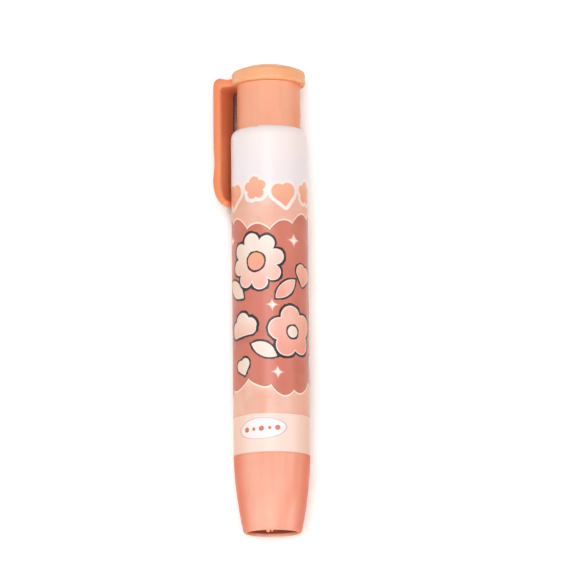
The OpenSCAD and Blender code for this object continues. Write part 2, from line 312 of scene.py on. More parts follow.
class Effects:
    """The surface effects that several finishes share.

    Patches are given as waves per metre, octaves and the two limits of their step, and stretches as
    a factor for each axis.
    """

    LINE_STRETCH = (1.0, 0.04, 1.0)
    LINE_SCALE = 1400.0
    SMUDGES = (190.0, 4.0, 0.42, 0.68)
    HAIRS = (2600.0, 1.0, 0.62, 0.7)
    HAIR_STRETCH = (1.0, 0.12, 1.0)
    HAIR_SHARE = 0.35
    CLOUDS = (95.0, 3.0, 0.38, 0.7)
    FLOW = (420.0, 2.0, 0.4, 0.68)
    FLOW_STRETCH = (1.0, 0.05, 1.0)
    EDGE_R = 0.25 * MM
    EDGE_LIMITS = (0.9, 0.995)
    WEAR = (520.0, 3.0, 0.4, 0.62)

    def __init__(self) -> None:
        """Build each group once."""
        self.grain, self.smudge, self.tint = self._grain(), self._smudge(), self._tint()
        self.rub, self.sides = self._rub(), self._sides()

    def _grain(self) -> Tree:
        """Build fine moulded grain with faint lines along the stick, as a height.

        Returns:
            The group.
        """
        group = Group("Moulded grain", {"Place": "vector", "Scale": "value", "Lines": "value"},
                      {"Height": "value"})
        g, place = group.graph, group.given["Place"]
        fine = g.noise(place, group.given["Scale"], 3.0)
        drawn = g.noise(g.stretched(place, self.LINE_STRETCH), self.LINE_SCALE)
        return group.done(Height=g.math("MULTIPLY_ADD", drawn, group.given["Lines"], fine))

    def _smudge(self) -> Tree:
        """Build handling smudges and fine hairlines, as a roughness between two values.

        Returns:
            The group.
        """
        group = Group("Smudges", {"Place": "vector", "Clean": "value", "Smudged": "value"},
                      {"Roughness": "value"})
        g, place = group.graph, group.given["Place"]
        hair = g.patches(g.stretched(place, self.HAIR_STRETCH), *self.HAIRS)
        smudge = g.patches(place, *self.SMUDGES)
        share = g.least(g.math("MULTIPLY_ADD", hair, self.HAIR_SHARE, smudge), 1.0)
        spread = g.less(group.given["Smudged"], group.given["Clean"])
        return group.done(Roughness=g.math("MULTIPLY_ADD", share, spread, group.given["Clean"]))

    def _tint(self) -> Tree:
        """Build uneven pigment: broad clouds and flow bands that run along the stick.

        Returns:
            The group.
        """
        group = Group("Uneven pigment", {"Place": "vector", "Colour": "colour", "Deep": "colour",
                                         "Clouds": "value", "Bands": "value"}, {"Colour": "colour"})
        g, place = group.graph, group.given["Place"]
        band = g.patches(g.stretched(place, self.FLOW_STRETCH), *self.FLOW)
        share = g.times(g.patches(place, *self.CLOUDS), group.given["Clouds"])
        share = g.math("MULTIPLY_ADD", band, group.given["Bands"], share)
        return group.done(Colour=g.mix(share, group.given["Colour"], group.given["Deep"]))

    def _rub(self) -> Tree:
        """Build rubbed edges, as a mask that is 1 where two faces meet and the surface is handled.

        Returns:
            The group.
        """
        group = Group("Rubbed edges", {"Place": "vector", "Amount": "value"}, {"Mask": "value"})
        g = group.graph
        rounded = g.wire(g.node("ShaderNodeBevel", samples=6), Radius=self.EDGE_R)
        turned = g.node("ShaderNodeVectorMath", operation="DOT_PRODUCT")
        g.feed(turned.inputs[0], rounded.outputs[0])
        g.feed(turned.inputs[1], g.node("ShaderNodeNewGeometry").outputs["Normal"])
        edge = g.step(turned.outputs["Value"], *self.EDGE_LIMITS, 1.0, 0.0)
        worn = g.patches(group.given["Place"], *self.WEAR)
        return group.done(Mask=g.times(g.times(edge, worn), group.given["Amount"]))

    @staticmethod
    def _sides() -> Tree:
        """Build the stick's two long sides, as a mask that fades towards its top and its underside; the
        finishes paint shade on the sides with it.

        Returns:
            The group.
        """
        group = Group("Long sides", {"Place": "vector", "Start": "value"}, {"Mask": "value"})
        g = group.graph
        x, _, z = g.xyz(group.given["Place"])
        side = g.math("DIVIDE", g.math("ABSOLUTE", x), g.length(x, z))
        return group.done(Mask=g.step(side, group.given["Start"], 1.0))


# Finishes

class Paint(Graph):
    """A material in the making: its tree, its shader and its object coordinates."""

    def __init__(self, name: str) -> None:
        """Start a material.

        Args:
            name: The material's name.
        """
        self.material = bpy.data.materials.new(name)
        self.material.use_nodes = True
        super().__init__(self.material.node_tree)
        self.shader = self.tree.nodes["Principled BSDF"]
        self.place = self.node("ShaderNodeTexCoord").outputs["Object"]

    def effect(self, group: Tree, **values: object) -> Socket:
        """Output of an effect that is placed on the object coordinates."""
        return self.use(group, Place=self.place, **values).outputs[0]

    def surface(self, **values: object) -> None:
        """Feed the shader's inputs by name."""
        self.wire(self.shader, **values)

    def bump(self, height: object, depth: float) -> None:
        """Bump the surface by a height of 0 to 1 times a depth in metres."""
        made = self.wire(self.node("ShaderNodeBump"), Distance=depth, Height=height)
        self.surface(Normal=made.outputs[0])


@dataclass(frozen=True)
class Finish(ABC):
    """A finish that becomes one material.

    Attributes:
        name: The material's name.
    """

    name: str

    @abstractmethod
    def coat(self, paint: Paint, effects: Effects) -> None:
        """Coat the surface of the material in the making, with the shared effects."""

    def make(self, effects: Effects) -> Material:
        """Make the material.

        Args:
            effects: The shared effects.

        Returns:
            The material.
        """
        paint = Paint(self.name)
        self.coat(paint, effects)
        return paint.material


@dataclass(frozen=True)
class MouldedPlastic(Finish):
    """Moulded plastic with a soft gloss.

    Attributes:
        colour: Main colour.
        deep: Colour of the denser pigment.
        worn: Colour of rubbed edges.
        clean: Roughness where it is clean.
        smudged: Roughness where it is handled.
        clouds: Strength of the pigment's clouds.
        bands: Strength of the bands along the stick.
        grain: Depth of the grain in metres.
        glow: Share of light that passes under the surface.
        shine: Strength of the mirror reflection, 0.5 for a plain plastic.
        rubbed: Strength of the rubbed edges.
        flank: Colour painted on the long sides as shade, deeper than the top, or None where they are as the
            rest.
        bore: Colour painted on the wall inside the mouth as shade, or None where there is no mouth.
    """

    colour: Colour
    deep: Colour
    worn: Colour
    clean: float = 0.4
    smudged: float = 0.52
    clouds: float = 0.35
    bands: float = 0.3
    grain: float = 0.000004
    glow: float = 0.12
    shine: float = 0.28
    rubbed: float = 0.5
    flank: Colour | None = None
    bore: Colour | None = None

    FLANK_START = 0.55
    GRAIN_SCALE = 2200.0
    GRAIN_LINES = 0.6
    GLOW_RADIUS = (1.0, 0.55, 0.35)
    GLOW_DEPTH = 1.2 * MM
    BORE_R = 5.45 * MM
    BORE_EDGE = (0.3 * MM, 0.75 * MM)

    def coat(self, paint: Paint, effects: Effects) -> None:
        """Coat the surface.

        Args:
            paint: The material in the making.
            effects: The shared effects.
        """
        body = paint.effect(effects.tint, Colour=self.colour, Deep=self.deep, Clouds=self.clouds,
                            Bands=self.bands)
        # Painted shade: the long sides are mixed towards the flank colour, as if the light fell off round the
        # stick.
        if self.flank:
            body = paint.mix(paint.effect(effects.sides, Start=self.FLANK_START), body, self.flank)
        # Painted shade: the wall inside the mouth is mixed towards the dark bore colour.
        if self.bore:
            body = paint.mix(self._painted_mouth_shade(paint), body, self.bore)
        rubbed = paint.effect(effects.rub, Amount=self.rubbed)
        paint.bump(paint.effect(effects.grain, Scale=self.GRAIN_SCALE, Lines=self.GRAIN_LINES), self.grain)
        paint.surface(Base_Color=paint.mix(rubbed, body, self.worn),
                      Roughness=paint.effect(effects.smudge, Clean=self.clean, Smudged=self.smudged),
                      Subsurface_Weight=self.glow, Subsurface_Radius=self.GLOW_RADIUS,
                      Subsurface_Scale=self.GLOW_DEPTH, Specular_IOR_Level=self.shine)

    def _painted_mouth_shade(self, paint: Paint) -> Socket:
        """Mask the wall inside the mouth, where shade is painted.

        Args:
            paint: The material in the making.

        Returns:
            The mask, 1 on that wall.
        """
        x, y, z = paint.xyz(paint.place)
        near = paint.math("LESS_THAN", paint.length(x, z), self.BORE_R)
        return paint.times(paint.step(y, *self.BORE_EDGE), near)


@dataclass(frozen=True)
class Rubber(Finish):
    """Rubber: the soft eraser or the dark friction ring.

    Attributes:
        colour: Main colour.
        speck: Colour of its specks.
        rough: Roughness.
        grain: Depth of the grain in metres.
        scale: Grain waves per metre.
        glow: Share of light that passes under the surface.
    """

    colour: Colour
    speck: Colour
    rough: float = 0.78
    grain: float = 0.00002
    scale: float = 1500.0
    glow: float = 0.2

    GLOW_RADIUS = (1.0, 0.9, 0.8)
    GLOW_DEPTH = 1.0 * MM
    POLISH = 0.14
    SHEEN = 0.15
    UNEVEN = (0.25, 0.2)
    SPECKS = (2.0, 0.66, 0.72)
    SPECK_SHARE = 0.5
    GRAIN_LINES = 0.9

    def coat(self, paint: Paint, effects: Effects) -> None:
        """Coat the surface.

        Args:
            paint: The material in the making.
            effects: The shared effects.
        """
        clouds, bands = self.UNEVEN
        body = paint.effect(effects.tint, Colour=self.colour, Deep=self.speck, Clouds=clouds, Bands=bands)
        specks = paint.times(paint.patches(paint.place, self.scale * 2.0, *self.SPECKS), self.SPECK_SHARE)
        paint.bump(paint.effect(effects.grain, Scale=self.scale, Lines=self.GRAIN_LINES), self.grain)
        polished = self.rough - self.POLISH
        paint.surface(Base_Color=paint.mix(specks, body, self.speck),
                      Roughness=paint.effect(effects.smudge, Clean=self.rough, Smudged=polished),
                      Subsurface_Weight=self.glow, Subsurface_Radius=self.GLOW_RADIUS,
                      Subsurface_Scale=self.GLOW_DEPTH, Sheen_Weight=self.SHEEN)


@dataclass(frozen=True)
class WorkedMetal(Finish):
    """Drawn or turned metal.

    Attributes:
        colour: Metal colour.
        stain: Colour where it is tarnished.
        rough: Roughness of the clean metal.
        lines: How much the tool lines are squeezed along each axis.
        spacing: Tool lines per metre.
    """

    colour: Colour
    stain: Colour
    rough: float
    lines: tuple[float, float, float]
    spacing: float = 2600.0

    STAINS = (330.0, 4.0, 0.52, 0.72)
    DULL = 0.18
    DEPTH = 0.006 * MM

    def coat(self, paint: Paint, effects: Effects) -> None:
        """Coat the surface.

        Args:
            paint: The material in the making.
            effects: The shared effects.
        """
        stained = paint.patches(paint.place, *self.STAINS)
        dulled = self.rough + self.DULL
        paint.surface(Base_Color=paint.mix(stained, self.colour, self.stain), Metallic=1.0,
                      Roughness=paint.effect(effects.smudge, Clean=self.rough, Smudged=dulled))
        paint.bump(paint.noise(paint.stretched(paint.place, self.lines), self.spacing), self.DEPTH)


# The printed film

class Shape(Enum):
    """Shapes that the print is stamped from."""

    DAISY = "daisy"
    BLOSSOM = "blossom"
    HEART = "heart"
    LEAF = "leaf"
    CLOUD = "cloud"
    SPARKLE = "sparkle"
    OVAL = "oval"
    DOT = "dot"


@dataclass(frozen=True)
class Ink:
    """Colours and line widths of a stamped shape.

    Attributes:
        fill: Colour of its upper part.
        blush: Colour of its lower part.
        halo: Colour of the band inside its outline.
        line: Colour of its outline.
        halo_width: Width of the band in millimetres.
        line_width: Width of the outline in millimetres.
    """

    fill: Colour
    blush: Colour
    halo: Colour
    line: Colour
    halo_width: float
    line_width: float


BROWN = shade(32, 8, 4)
PAPER = shade(252, 243, 242)
CREAM = shade(250, 234, 224)
PINK = shade(250, 194, 180)
ROSE = shade(247, 168, 152)
APRICOT = shade(247, 176, 136)
PUFF = shade(250, 184, 152)
PUFF_LOW = shade(248, 170, 146)
PEACH = shade(242, 186, 168)
PEACH_LIGHT = shade(248, 205, 190)
PEACH_DEEP = shade(234, 172, 142)
TERRACOTTA = shade(212, 124, 106)
TERRACOTTA_DEEP = shade(200, 112, 94)
PALE_PINK = shade(254, 228, 219)
LILAC_WHITE = shade(246, 240, 246)
TAG_WHITE = shade(254, 248, 250)
TAG_EDGE = shade(226, 200, 198)

CREAM_INK = Ink(CREAM, PINK, PAPER, BROWN, 0.2, 0.56)
PINK_INK = Ink(PINK, ROSE, PAPER, BROWN, 0.2, 0.56)
SMALL_CREAM_INK = Ink(CREAM, CREAM, PAPER, BROWN, 0.1, 0.42)
SMALL_PINK_INK = Ink(PINK, ROSE, PAPER, BROWN, 0.14, 0.42)
EYE_INK = Ink(APRICOT, ROSE, APRICOT, BROWN, 0.0, 0.42)
PUFF_INK = Ink(PUFF, PUFF_LOW, PUFF, PAPER, 0.0, 0.8)
SPARK_INK = Ink(PAPER, PAPER, PAPER, PEACH, 0.0, 0.12)
TAG_INK = Ink(TAG_WHITE, TAG_WHITE, TAG_WHITE, TAG_EDGE, 0.0, 0.16)
MARK_INK = Ink(TERRACOTTA, TERRACOTTA, TERRACOTTA, TERRACOTTA, 0.0, 0.02)


@dataclass(frozen=True)
class Stamp:
    """One shape stamped on the film.

    Attributes:
        shape: Which shape.
        across: Place round the barrel in millimetres from the line that faces up, to the right.
        along: Place along the barrel in millimetres from the nose's rim.
        size: Half size in millimetres.
        ink: Its colours and lines.
        turn: Turn in degrees.
    """

    shape: Shape
    across: float
    along: float
    size: float
    ink: Ink
    turn: float = 0.0


@dataclass(frozen=True)
class Edge:
    """A wavy edge of a field of colour, all round the barrel.

    Attributes:
        height: Mean height in millimetres from the nose's rim.
        swing: Swing of its long wave in millimetres.
        waves: Whole number of long waves round the barrel.
        phase: Where the long wave starts, in degrees.
        puff: Height of its puffs in millimetres, negative for puffs that point down.
        puffs: Whole number of puffs round the barrel.
    """

    height: float
    swing: float = 0.0
    waves: int = 1
    phase: float = 0.0
    puff: float = 0.0
    puffs: int = 0


CENTRES = {Shape.DAISY: (0.3, EYE_INK), Shape.BLOSSOM: (0.22, SMALL_CREAM_INK)}


def stamped(shape: Shape, across: float, along: float, size: float, ink: Ink, turned: float = 0.0
            ) -> list[Stamp]:
    """Stamp a shape, and a flower's centre on it.

    Args:
        shape: Which shape.
        across: Place round the barrel.
        along: Place along the barrel.
        size: Half size.
        ink: Ink of the shape.
        turned: Turn in degrees.

    Returns:
        The shape's stamp, and the centre's stamp for a flower.
    """
    stamps = [Stamp(shape, across, along, size, ink, turned)]
    if shape in CENTRES:
        share, eye = CENTRES[shape]
        stamps.append(Stamp(Shape.DOT, across, along, size * share, eye, turned))
    return stamps


FIELD_ROWS = (
    (Shape.LEAF, -8.7, 50.6, 3.3, SMALL_CREAM_INK, 52.0),
    (Shape.LEAF, 3.4, 50.2, 3.0, SMALL_PINK_INK, -48.0),
    (Shape.DAISY, -3.1, 56.0, 6.1, CREAM_INK, 12.0),
    (Shape.LEAF, -1.4, 37.4, 3.1, SMALL_CREAM_INK, 64.0),
    (Shape.BLOSSOM, 4.9, 41.2, 5.6, PINK_INK, 8.0),
    (Shape.CLOUD, -6.6, 42.6, 3.7, CREAM_INK, 6.0),
    (Shape.HEART, 8.3, 53.2, 2.3, SMALL_PINK_INK, -14.0),
    (Shape.HEART, -6.4, 34.0, 1.7, SMALL_CREAM_INK, 18.0),
    (Shape.SPARKLE, 5.4, 60.6, 1.2, SPARK_INK),
    (Shape.SPARKLE, -10.6, 61.2, 1.0, SPARK_INK),
    (Shape.SPARKLE, 0.4, 46.8, 1.0, SPARK_INK),
    (Shape.SPARKLE, 1.4, 32.6, 1.1, SPARK_INK),
    (Shape.DAISY, 17.2, 46.6, 5.4, CREAM_INK, -8.0),
    (Shape.BLOSSOM, -17.4, 53.6, 5.2, PINK_INK, 20.0),
    (Shape.CLOUD, 16.4, 58.6, 3.6, CREAM_INK, -6.0),
    (Shape.CLOUD, -18.0, 36.4, 3.8, CREAM_INK, -4.0),
    (Shape.HEART, -14.2, 44.0, 2.1, SMALL_PINK_INK, 12.0),
    (Shape.HEART, 12.6, 35.0, 2.0, SMALL_CREAM_INK, -16.0),
    (Shape.LEAF, 23.6, 52.4, 2.9, SMALL_PINK_INK, 20.0),
    (Shape.SPARKLE, 22.6, 38.6, 1.1, SPARK_INK),
    (Shape.SPARKLE, -23.2, 60.0, 1.1, SPARK_INK),
    (Shape.SPARKLE, -21.8, 45.2, 1.0, SPARK_INK),
)
FIELD_STAMPS = [stamp for row in FIELD_ROWS for stamp in stamped(*row)]
PUFF_SHAPES = [(Shape.HEART, 2.4), (Shape.BLOSSOM, 2.5)]
PUFF_COUNT = 8
PUFF_ALONG = 70.8
PUFF_SWING = 0.8
PUFF_TILT = 9.0
TAG_ACROSS, TAG_ALONG = -2.1, 20.9
MARK_SPACE, MARK_RISE = 1.7, 0.07
MARK_SIZES = (0.5, 0.34)
TAG_STAMPS = [Stamp(Shape.OVAL, TAG_ACROSS, TAG_ALONG, 5.0, TAG_INK, 2.5)] + [
    Stamp(Shape.DOT, TAG_ACROSS + MARK_SPACE * i, TAG_ALONG + MARK_RISE * i, MARK_SIZES[i % 2], MARK_INK)
    for i in range(-2, 3)]

# Forms of the stamped shapes, in units of half their size

PETALS = {Shape.DAISY: (8, 0.5, 0.72, 0.28, 0.6), Shape.BLOSSOM: (5, 0.48, 0.56, 0.42, 0.5)}
HEART_SCALE = 0.6
HEART_LIFT = 0.56
HEART_LOBE = (0.25, 0.75)
HEART_ROUND = 0.1
LEAF_SIDE = 0.85
CLOUD_PUFFS = ((-0.54, -0.06, 0.42), (0.02, 0.22, 0.54), (0.56, 0.0, 0.42))
CLOUD_FLOOR = (0.6, 0.24, 0.32)
SPARKLE_POWER = 0.6
SPARKLE_DEPTH = 0.4
OVAL_HIGH = 0.42


@dataclass(frozen=True)
class PrintedFilm(Finish):
    """The film's print: fields of colour with wavy edges, and shapes stamped on them, with shade painted on
    its long sides below the white top.

    Attributes:
        radius: Radius of the film in millimetres.
        clean: Roughness where it is clean.
        smudged: Roughness where it is handled.
    """

    radius: float
    clean: float = 0.36
    smudged: float = 0.46

    SIDE_SHADE = (0.95, 0.79, 0.64, 1.0)
    FLANK_START = 0.5
    PEACH_TOP = Edge(PUFF_ALONG, PUFF_SWING, 3, 90.0)
    FIELD_TOP = Edge(63.8, 1.5, 2, 200.0, 1.5, 10)
    FIELD_LOW = Edge(30.4, 1.3, 3, 100.0, -1.4, 10)
    BAND_TOP = Edge(24.0)
    WOBBLE_SCALE = 260.0
    WOBBLE = 0.36
    SIDE_SHADE_FADE = 3.0
    RIPPLE_STRETCH = (1.0, 0.1, 1.0)
    RIPPLE_SCALE = 240.0
    RIPPLE_SHARE = 3.0
    GRAIN_SCALE = 2600.0
    GRAIN_LINES = 0.4
    GRAIN_SHARE = 0.25
    DEPTH = 0.006 * MM
    SHINE = 0.4
    COAT = 0.12
    COAT_ROUGH = 0.24
    LILAC_SPAN = (84.0, 73.0)
    WASH = (120.0, 3.0, 0.4, 0.66)
    STREAKS = (170.0, 2.0, 0.56, 0.74)
    STREAK_STRETCH = (1.0, 0.35, 1.0)
    STREAK_SHARE = 0.7
    CLAY = (160.0, 2.0, 0.4, 0.7)
    WHITE_LINE = (0.7, 0.9)
    CREAM_LINE = 0.4
    DARK_LINE = 0.22
    BAND_LINE = 0.12
    PRESS = (700.0, 2.0, 0.3, 0.7, 0.72, 1.18)
    BLUSH_SPAN = (0.6, -0.9)
    PUFF_POWER = 0.7
    SOFT = 0.05

    def coat(self, paint: Paint, effects: Effects) -> None:
        """Coat the surface.

        Args:
            paint: The material in the making.
            effects: The shared effects.
        """
        x, y, z = paint.xyz(paint.place)
        angle = paint.math("ARCTAN2", x, z)
        noise = paint.noise(paint.place, self.WOBBLE_SCALE)
        wobble = paint.math("MULTIPLY_ADD", noise, self.WOBBLE, -self.WOBBLE / 2.0)
        across = paint.math("ADD", paint.times(angle, self.radius), wobble)
        along = paint.math("MULTIPLY_ADD", y, 1.0 / MM, wobble)
        colour = self._stamps(paint, self._fields(paint, angle, along), across, along)
        # Painted shade: below the white top the print is multiplied by the side shade colour on the long
        # sides, as if the light fell off round the barrel.
        side_shade_mask = paint.times(paint.effect(effects.sides, Start=self.FLANK_START),
                             paint.step(along, PUFF_ALONG + self.SIDE_SHADE_FADE, PUFF_ALONG))
        ripple = paint.noise(paint.stretched(paint.place, self.RIPPLE_STRETCH), self.RIPPLE_SCALE)
        grain = paint.effect(effects.grain, Scale=self.GRAIN_SCALE, Lines=self.GRAIN_LINES)
        grain = paint.times(grain, self.GRAIN_SHARE)
        paint.bump(paint.math("MULTIPLY_ADD", ripple, self.RIPPLE_SHARE, grain), self.DEPTH)
        paint.surface(Base_Color=paint.mix(side_shade_mask, colour, self.SIDE_SHADE, "MULTIPLY"),
                      Roughness=paint.effect(effects.smudge, Clean=self.clean, Smudged=self.smudged),
                      Specular_IOR_Level=self.SHINE, Coat_Weight=self.COAT, Coat_Roughness=self.COAT_ROUGH)

    def _fields(self, paint: Paint, angle: object, along: object) -> Socket:
        """Lay the fields of colour.

        Args:
            paint: The material in the making.
            angle: Angle round the barrel.
            along: Height in millimetres.

        Returns:
            The fields' colour.
        """
        edge = self._edge_group()

        def above(line: Edge, shift: float = 0.0) -> Socket:
            """Mask what lies above a wavy edge.

            Args:
                line: The edge.
                shift: How far it is moved up, in millimetres.

            Returns:
                The mask, 1 above it.
            """
            distance = paint.use(edge, Angle=angle, Along=along, Height=line.height + shift, Swing=line.swing,
                                 Waves=float(line.waves), Phase=math.radians(line.phase), Puff=line.puff,
                                 Puffs=float(line.puffs)).outputs[0]
            return paint.step(distance, -self.SOFT, self.SOFT)

        def field(wider: float) -> Socket:
            """Mask of the terracotta field, made wider at both edges."""
            return paint.less(above(self.FIELD_LOW, -wider), above(self.FIELD_TOP, wider))

        white = paint.mix(paint.step(along, *self.LILAC_SPAN), PAPER, LILAC_WHITE)
        peach = paint.mix(paint.patches(paint.place, *self.WASH), PEACH, PEACH_LIGHT)
        streaks = paint.patches(paint.stretched(paint.place, self.STREAK_STRETCH), *self.STREAKS)
        peach = paint.mix(paint.times(streaks, self.STREAK_SHARE), peach, PEACH_DEEP)
        paper_from, white_from = self.WHITE_LINE
        colour = paint.mix(above(self.PEACH_TOP, paper_from), peach, PAPER)
        colour = paint.mix(above(self.PEACH_TOP, white_from), colour, white)
        clay = paint.mix(paint.patches(paint.place, *self.CLAY), TERRACOTTA, TERRACOTTA_DEEP)
        colour = paint.mix(field(self.CREAM_LINE), colour, CREAM)
        colour = paint.mix(field(0.0), colour, TERRACOTTA_DEEP)
        colour = paint.mix(field(-self.DARK_LINE), colour, clay)
        colour = paint.mix(above(self.BAND_TOP, self.BAND_LINE), PEACH_DEEP, colour)
        return paint.mix(above(self.BAND_TOP), PALE_PINK, colour)

    def _puffs(self) -> list[Stamp]:
        """Stamp the row of hearts and blossoms along the peach field's top.

        Returns:
            The stamps.
        """
        puffs = []
        for i in range(PUFF_COUNT):
            shape, size = PUFF_SHAPES[i % len(PUFF_SHAPES)]
            turned = 2.0 * math.pi * (i + 0.5) / PUFF_COUNT
            along = PUFF_ALONG + PUFF_SWING * math.sin(3.0 * turned)
            puffs.append(Stamp(shape, self.radius * (turned - math.pi), along, size, PUFF_INK,
                               PUFF_TILT * math.sin(5.0 * i)))
        return puffs

    def _stamps(self, paint: Paint, colour: Socket, across: object, along: object) -> Socket:
        """Stamp the shapes over the fields.

        Args:
            paint: The material in the making.
            colour: Colour of the fields.
            across: Place round the barrel in millimetres.
            along: Height in millimetres.

        Returns:
            The finished colour.
        """
        put, sticker = self._put_group(), self._sticker_group()
        shapes = {shape: self._shape_group(shape) for shape in Shape}
        press = paint.patches(paint.place, *self.PRESS)
        for stamp in FIELD_STAMPS + self._puffs() + TAG_STAMPS:
            at = paint.use(put, Across=across, Along=along, Centre_across=stamp.across,
                           Centre_along=stamp.along, Turn=math.radians(stamp.turn), Size=stamp.size,
                           Round=math.pi * self.radius).outputs
            distance = paint.use(shapes[stamp.shape], X=at["X"], Y=at["Y"]).outputs[0]
            ink = stamp.ink
            colour = paint.use(sticker, Under=colour, Distance=distance, Size=stamp.size, Y=at["Y"],
                               Fill=ink.fill, Blush=ink.blush, Halo=ink.halo, Line=ink.line,
                               Halo_width=ink.halo_width, Line_width=ink.line_width,
                               Press=press if ink.line == BROWN else 1.0).outputs[0]
        return colour

    def _edge_group(self) -> Tree:
        """Build the height above a wavy, puffy edge, in millimetres.

        Returns:
            The group.
        """
        names = ("Angle", "Along", "Height", "Swing", "Waves", "Phase", "Puff", "Puffs")
        group = Group("Wavy edge", dict.fromkeys(names, "value"), {"Distance": "value"})
        g, given = group.graph, group.given
        wave = g.math("COSINE", g.math("MULTIPLY_ADD", given["Angle"], given["Waves"], given["Phase"]))
        level = g.math("MULTIPLY_ADD", wave, given["Swing"], given["Height"])
        half = g.times(given["Puffs"], 0.5)
        bump = g.math("ABSOLUTE", g.math("SINE", g.times(given["Angle"], half)))
        level = g.math("MULTIPLY_ADD", g.math("POWER", bump, self.PUFF_POWER), given["Puff"], level)
        return group.done(Distance=g.less(given["Along"], level))

    @staticmethod
    def _put_group() -> Tree:
        """Build a shape's own coordinates, centred, turned and scaled, and carried round the barrel.

        Returns:
            The group.
        """
        names = ("Across", "Along", "Centre across", "Centre along", "Turn", "Size", "Round")
        group = Group("Put shape", dict.fromkeys(names, "value"), {"X": "value", "Y": "value"})
        g, given = group.graph, group.given
        low = g.times(given["Round"], -1.0)
        x = g.math("WRAP", g.less(given["Across"], given["Centre across"]), given["Round"], low)
        y = g.less(given["Along"], given["Centre along"])
        cosine, sine = g.math("COSINE", given["Turn"]), g.math("SINE", given["Turn"])
        turned_x = g.math("MULTIPLY_ADD", x, cosine, g.times(y, sine))
        turned_y = g.less(g.times(y, cosine), g.times(x, sine))
        return group.done(X=g.math("DIVIDE", turned_x, given["Size"]),
                          Y=g.math("DIVIDE", turned_y, given["Size"]))

    @staticmethod
    def _shape_group(shape: Shape) -> Tree:
        """Build the distance to a shape's outline, negative inside, in units of its half size.

        Args:
            shape: Which shape.

        Returns:
            The shape's group.
        """
        group = Group(f"Shape {shape.value}", {"X": "value", "Y": "value"}, {"Distance": "value"})
        g, x, y = group.graph, group.given["X"], group.given["Y"]

        def disc(left: float, down: float, radius: float) -> Socket:
            """Distance to a disc."""
            return g.less(g.length(g.less(x, left), g.less(y, down)), radius)

        def petals(count: int, start: float, end: float, round_: float, heart: float) -> Socket:
            """Work out the distance to a ring of petals, folded into one sector.

            Args:
                count: Number of petals.
                start: Where a petal's middle line starts.
                end: Where it ends.
                round_: Half width of a petal.
                heart: Radius of the disc that joins them.

            Returns:
                The distance.
            """
            half = math.pi / count
            angle = g.math("WRAP", g.math("ARCTAN2", x, y), half, -half)
            reach = g.length(x, y)
            out = g.times(reach, g.math("COSINE", angle))
            along = g.least(g.math("MAXIMUM", out, start), end)
            petal = g.length(g.times(reach, g.math("SINE", angle)), g.less(out, along))
            return g.least(g.less(petal, round_), g.less(reach, heart))

        side = g.math("ABSOLUTE", x)
        if shape in PETALS:
            distance = petals(*PETALS[shape])
        elif shape is Shape.HEART:
            out, up = g.times(side, HEART_SCALE), g.math("MULTIPLY_ADD", y, HEART_SCALE, HEART_LIFT)
            off, high = HEART_LOBE
            lobe = g.less(g.length(g.less(out, off), g.less(up, high)), math.hypot(off, off))
            foot = g.times(g.math("MAXIMUM", g.math("ADD", out, up), 0.0), 0.5)
            flank = g.least(g.length(out, g.less(up, 1.0)), g.length(g.less(out, foot), g.less(up, foot)))
            flank = g.times(flank, g.math("SIGN", g.less(out, up)))
            top = g.math("GREATER_THAN", g.math("ADD", out, up), 1.0)
            sharp = g.math("MULTIPLY_ADD", g.less(lobe, flank), top, flank)
            distance = g.math("MULTIPLY_ADD", sharp, 1.0 / HEART_SCALE, -HEART_ROUND)
        elif shape is Shape.LEAF:
            distance = g.less(g.length(g.math("ADD", side, LEAF_SIDE), y), math.hypot(LEAF_SIDE, 1.0))
        elif shape is Shape.CLOUD:
            half, lift, radius = CLOUD_FLOOR
            floor = g.less(x, g.least(g.math("MAXIMUM", x, -half), half))
            distance = g.less(g.length(floor, g.math("ADD", y, lift)), radius)
            for puff in CLOUD_PUFFS:
                distance = g.least(distance, disc(*puff))
        elif shape is Shape.SPARKLE:
            powers = [g.math("POWER", far, SPARKLE_POWER) for far in (side, g.math("ABSOLUTE", y))]
            reach = g.math("ADD", *powers)
            distance = g.times(g.less(reach, 1.0), SPARKLE_DEPTH)
        elif shape is Shape.OVAL:
            distance = g.times(g.less(g.length(x, g.math("DIVIDE", y, OVAL_HIGH)), 1.0), OVAL_HIGH)
        else:
            distance = g.less(g.length(x, y), 1.0)
        return group.done(Distance=distance)

    def _sticker_group(self) -> Tree:
        """Build a filled shape with its pale band and its hand-drawn outline, laid over a colour.

        Returns:
            The group.
        """
        values = dict.fromkeys(("Distance", "Size", "Y", "Halo width", "Line width", "Press"), "value")
        colours = dict.fromkeys(("Under", "Fill", "Blush", "Halo", "Line"), "colour")
        group = Group("Sticker", {**values, **colours}, {"Colour": "colour"})
        g, given = group.graph, group.given

        def within(distance: object) -> Socket:
            """Mask that is 1 where a distance is negative."""
            return g.step(distance, -self.SOFT, self.SOFT, 1.0, 0.0)

        distance = g.times(given["Distance"], given["Size"])
        line = g.times(given["Line width"], given["Press"])
        fill = g.mix(g.step(given["Y"], *self.BLUSH_SPAN), given["Fill"], given["Blush"])
        colour = g.mix(within(g.less(distance, line)), given["Under"], given["Line"])
        colour = g.mix(within(distance), colour, given["Halo"])
        inner = within(g.math("ADD", distance, given["Halo width"]))
        return group.done(Colour=g.mix(inner, colour, fill))


# Finishes of this stick's pieces

# The nose's flank colour is painted shade on its long sides, and its bore colour is painted shade inside the
# mouth.
NOSE_PLASTIC = MouldedPlastic(
    "nose_plastic", shade(253, 188, 166), shade(246, 160, 134), shade(255, 210, 192), bands=0.45,
    flank=shade(236, 122, 86), bore=shade(150, 62, 24))
# The tube's flank colour is painted shade on its long sides.
TUBE_PLASTIC = MouldedPlastic(
    "tube_plastic", shade(254, 187, 156), shade(247, 163, 130), shade(255, 206, 184),
    flank=shade(248, 160, 119))
